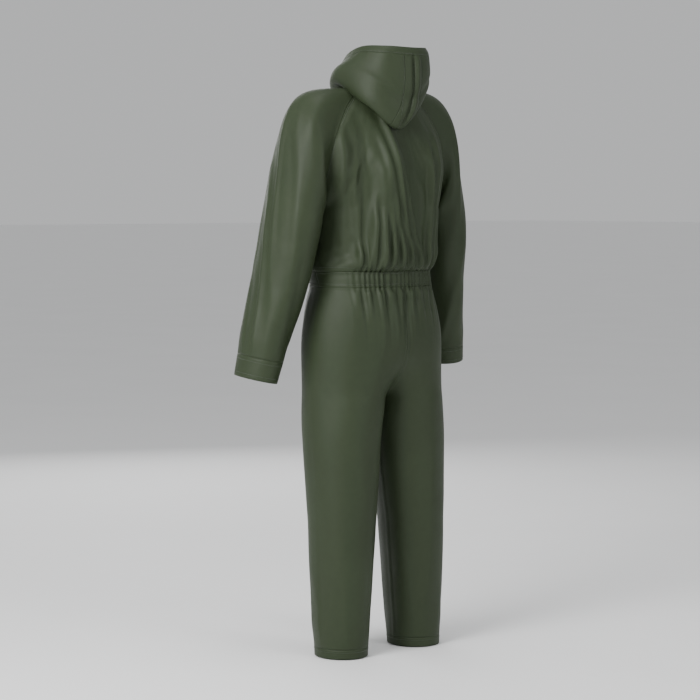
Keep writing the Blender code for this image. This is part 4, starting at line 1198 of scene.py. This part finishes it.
def place(obj):
    obj.data.transform(Matrix.Translation((-HANGER[0], -HANGER[1], -HANGER[2])))
    obj.data.update()
    return obj


SEWN = {
    "back_panel": [("band_high_back_left", 0.005), ("band_high_back_right", -0.005)],
    "waistband_back": [("band_low_back_left", -0.008), ("band_low_back_right", 0.008),
                       ("band_high_back_left", -0.012), ("band_high_back_right", 0.012)],
    "waistband_front_left": [("band_low_front_left", -0.008), ("band_high_front_left", -0.008)],
    "waistband_front_right": [("band_low_front_right", 0.008), ("band_high_front_right", 0.008)],
}
NECK_PARTS = ("neck_front", "neck_back", "cap_neck")
NECKLINE = [lines[f"{part}_{label}"] for part in NECK_PARTS for _, label in SIDES]
hood_pieces, hood_surface, hood_lines = build_hood(NECKLINE)


def settle(obj, body, slot_name, *nodes):
    place(obj)
    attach(obj, body)
    if nodes:
        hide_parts(*nodes)
    return obj


def finish_panels():
    for name, obj in panels.items():
        solid(obj, WALL)
        label = name.rsplit("_", 1)[-1]
        side = 1 if label == "left" else -1
        rows = [(lines[key], across) for key, across in SEWN.get(name, ())]
        if name.startswith("trouser"):
            rows += [(lines[f"seat_{label}"], 0.005 * side), (lines[f"fly_{label}"], -0.005 * side),
                     (lines[f"inseam_{label}"], 0.005)]
        if name.startswith("leg_hem"):
            rows += [(lines[name], 0.0)]
        if name.startswith("sleeve_hem"):
            rows += [(lines[f"cuff_{label}"], 0.0), (lines[f"cuff_edge_{label}"], 0.0)]
        if name.startswith("sleeve_") and "hem" not in name:
            rows += [(lines[f"raglan_{label}"], 0.005 * side)]
        if rows:
            stitched(obj, rows, surface)
        obj.name = name + "_cloth"


finish_panels()
bpy.data.objects.remove(garment, do_unlink=True)
for side, label in SIDES:
    for kind, nodes in (("sleeve", ("raglan_cap", "sleeve")), ("trouser", ("hip", "leg"))):
        piece = place(panels[f"{kind}_{label}"])
        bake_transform(piece)
        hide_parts(*[f"{node}_{label}" for node in nodes])
    settle(panels[f"sleeve_hem_{label}"], f"sleeve_{label}", "coated_fabric", f"sleeve_hem_{label}")
    settle(panels[f"leg_hem_{label}"], f"leg_{label}", "coated_fabric", f"leg_hem_{label}")
    settle(panels[f"front_panel_{label}"], "torso", "coated_fabric", f"front_panel_{label}")
    settle(panels[f"waistband_front_{label}"], "torso", "coated_fabric", f"waistband_front_{label}")
for name in ("back_panel", "waistband_back"):
    settle(panels[name], "torso", "coated_fabric", name)

HOOD_SEWN = {"hood_hem": ("hem", -0.003), "hood_side_left": ("left", 0.004),
             "hood_side_right": ("right", -0.004)}
for name, piece in hood_pieces.items():
    solid(piece, 0.0016 if name == "hood_hem" else WALL)
    if name in HOOD_SEWN:
        line, across = HOOD_SEWN[name]
        stitched(piece, [(hood_lines[line], across)], hood_surface)
    piece.name = name + "_cloth"
    settle(piece, "torso", "coated_fabric", name)

settle(neck_tape(), "torso", "webbing", "neck_band").name = "neck_tape"
settle(hanger(), "torso", "webbing", "hanger_loop").name = "hanger_tape"
settle(elastic_band(), "torso", "elastic", "waist_elastic").name = "waist_elastic_band"
for tape, (side, label) in zip(zip_parts(), SIDES):
    tape.name = f"zip_tape_woven_{label}"
    settle(tape, "torso", "zip_tape", f"zip_tape_{label}")
    settle(coil(side, label), "torso", "zip_plastic", f"zip_chain_{label}")
settle(fly_shield(), "torso", "coated_fabric")
settle(storm_flap(), "storm_flap", "coated_fabric", "storm_flap")
settle(gusset(), "torso", "coated_fabric", "flap_gusset")

HARD_PARTS = {"zip_slider": METAL, "zip_pull": METAL, "zip_stop": METAL, "stud": PLASTIC}
for name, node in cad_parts.items():
    for start, shown in HARD_PARTS.items():
        if name.startswith(start):
            for slot in node.material_slots:
                slot.material = shown


# ---------------------------------------------------------------- floor, light and camera
def stage_floor():
    mesh = bpy.data.meshes.new("floor")
    low = -HANGER[2] - 0.002
    points = [(x, y, low) for x, y in ((-90, -90), (90, -90), (90, 90), (-90, 90))]
    mesh.from_pydata(points, [], [(0, 1, 2, 3)])
    made = Nodes("floor")
    cloud = made.noise(made.spaces()[0], 1.5, 3.0)
    tint = made.tinted(made.mapped(cloud, 0.3, 0.7, 0.99, 1.01), (0.90, 0.90, 0.90))
    made.set(Base_Color=tint, Roughness=0.9)
    mesh.materials.append(made.material)
    floor = bpy.data.objects.new("floor", mesh)
    bpy.context.scene.collection.objects.link(floor)


def soft_light(name, spot, target, size, power):
    light = bpy.data.lights.new(name, "AREA")
    light.shape = "DISK"
    light.size = size
    light.energy = power
    obj = bpy.data.objects.new(name, light)
    bpy.context.scene.collection.objects.link(obj)
    obj.location = spot
    obj.rotation_euler = (Vector(target) - Vector(spot)).to_track_quat("-Z", "Y").to_euler()


def polar(azimuth, distance, height):
    a = math.radians(azimuth)
    return (distance * math.sin(a), -distance * math.cos(a), height)


def studio():
    world = bpy.data.worlds.new("studio")
    world.use_nodes = True
    sky = world.node_tree.nodes["Background"].inputs
    sky["Color"].default_value = (0.98, 0.99, 1.0, 1)
    sky["Strength"].default_value = 0.57
    bpy.context.scene.world = world
    middle = (0, 0, -0.7)
    soft_light("key", polar(100, 3.6, 1.0), middle, 2.0, 178)
    soft_light("back", polar(190, 4.2, 0.5), middle, 1.8, 48)
    soft_light("top", (0.3, 0.2, 2.4), middle, 1.2, 26)
    soft_light("front", polar(335, 4.2, 0.8), middle, 3.4, 66)


CAMERA_AZIMUTH, CAMERA_DISTANCE, EYE_HEIGHT, AIM_HEIGHT, PICTURE_WIDTH = 140.0, 6.0, 1.27, 0.847, 1.974
AIM_RIGHT = -0.0592


def camera():
    """Three-quarter view from behind the wearer's left, from chest height, looking slightly down."""
    turn = math.radians(CAMERA_AZIMUTH)
    right = Vector((math.cos(turn), math.sin(turn), 0.0))
    back = Vector((math.sin(turn), -math.cos(turn), 0.0))
    aim = Vector((0.0, -HANGER[1], AIM_HEIGHT - HANGER[2])) + right * AIM_RIGHT
    spot = aim + back * CAMERA_DISTANCE + Vector((0, 0, EYE_HEIGHT - AIM_HEIGHT))
    view = bpy.data.cameras.new("camera")
    view.sensor_width = 36.0
    view.lens = 36.0 * CAMERA_DISTANCE / PICTURE_WIDTH
    view.dof.use_dof = False
    obj = bpy.data.objects.new("camera", view)
    bpy.context.scene.collection.objects.link(obj)
    obj.location = spot
    obj.rotation_euler = (aim - spot).to_track_quat("-Z", "Y").to_euler()
    bpy.context.scene.camera = obj


stage_floor()
studio()
camera()
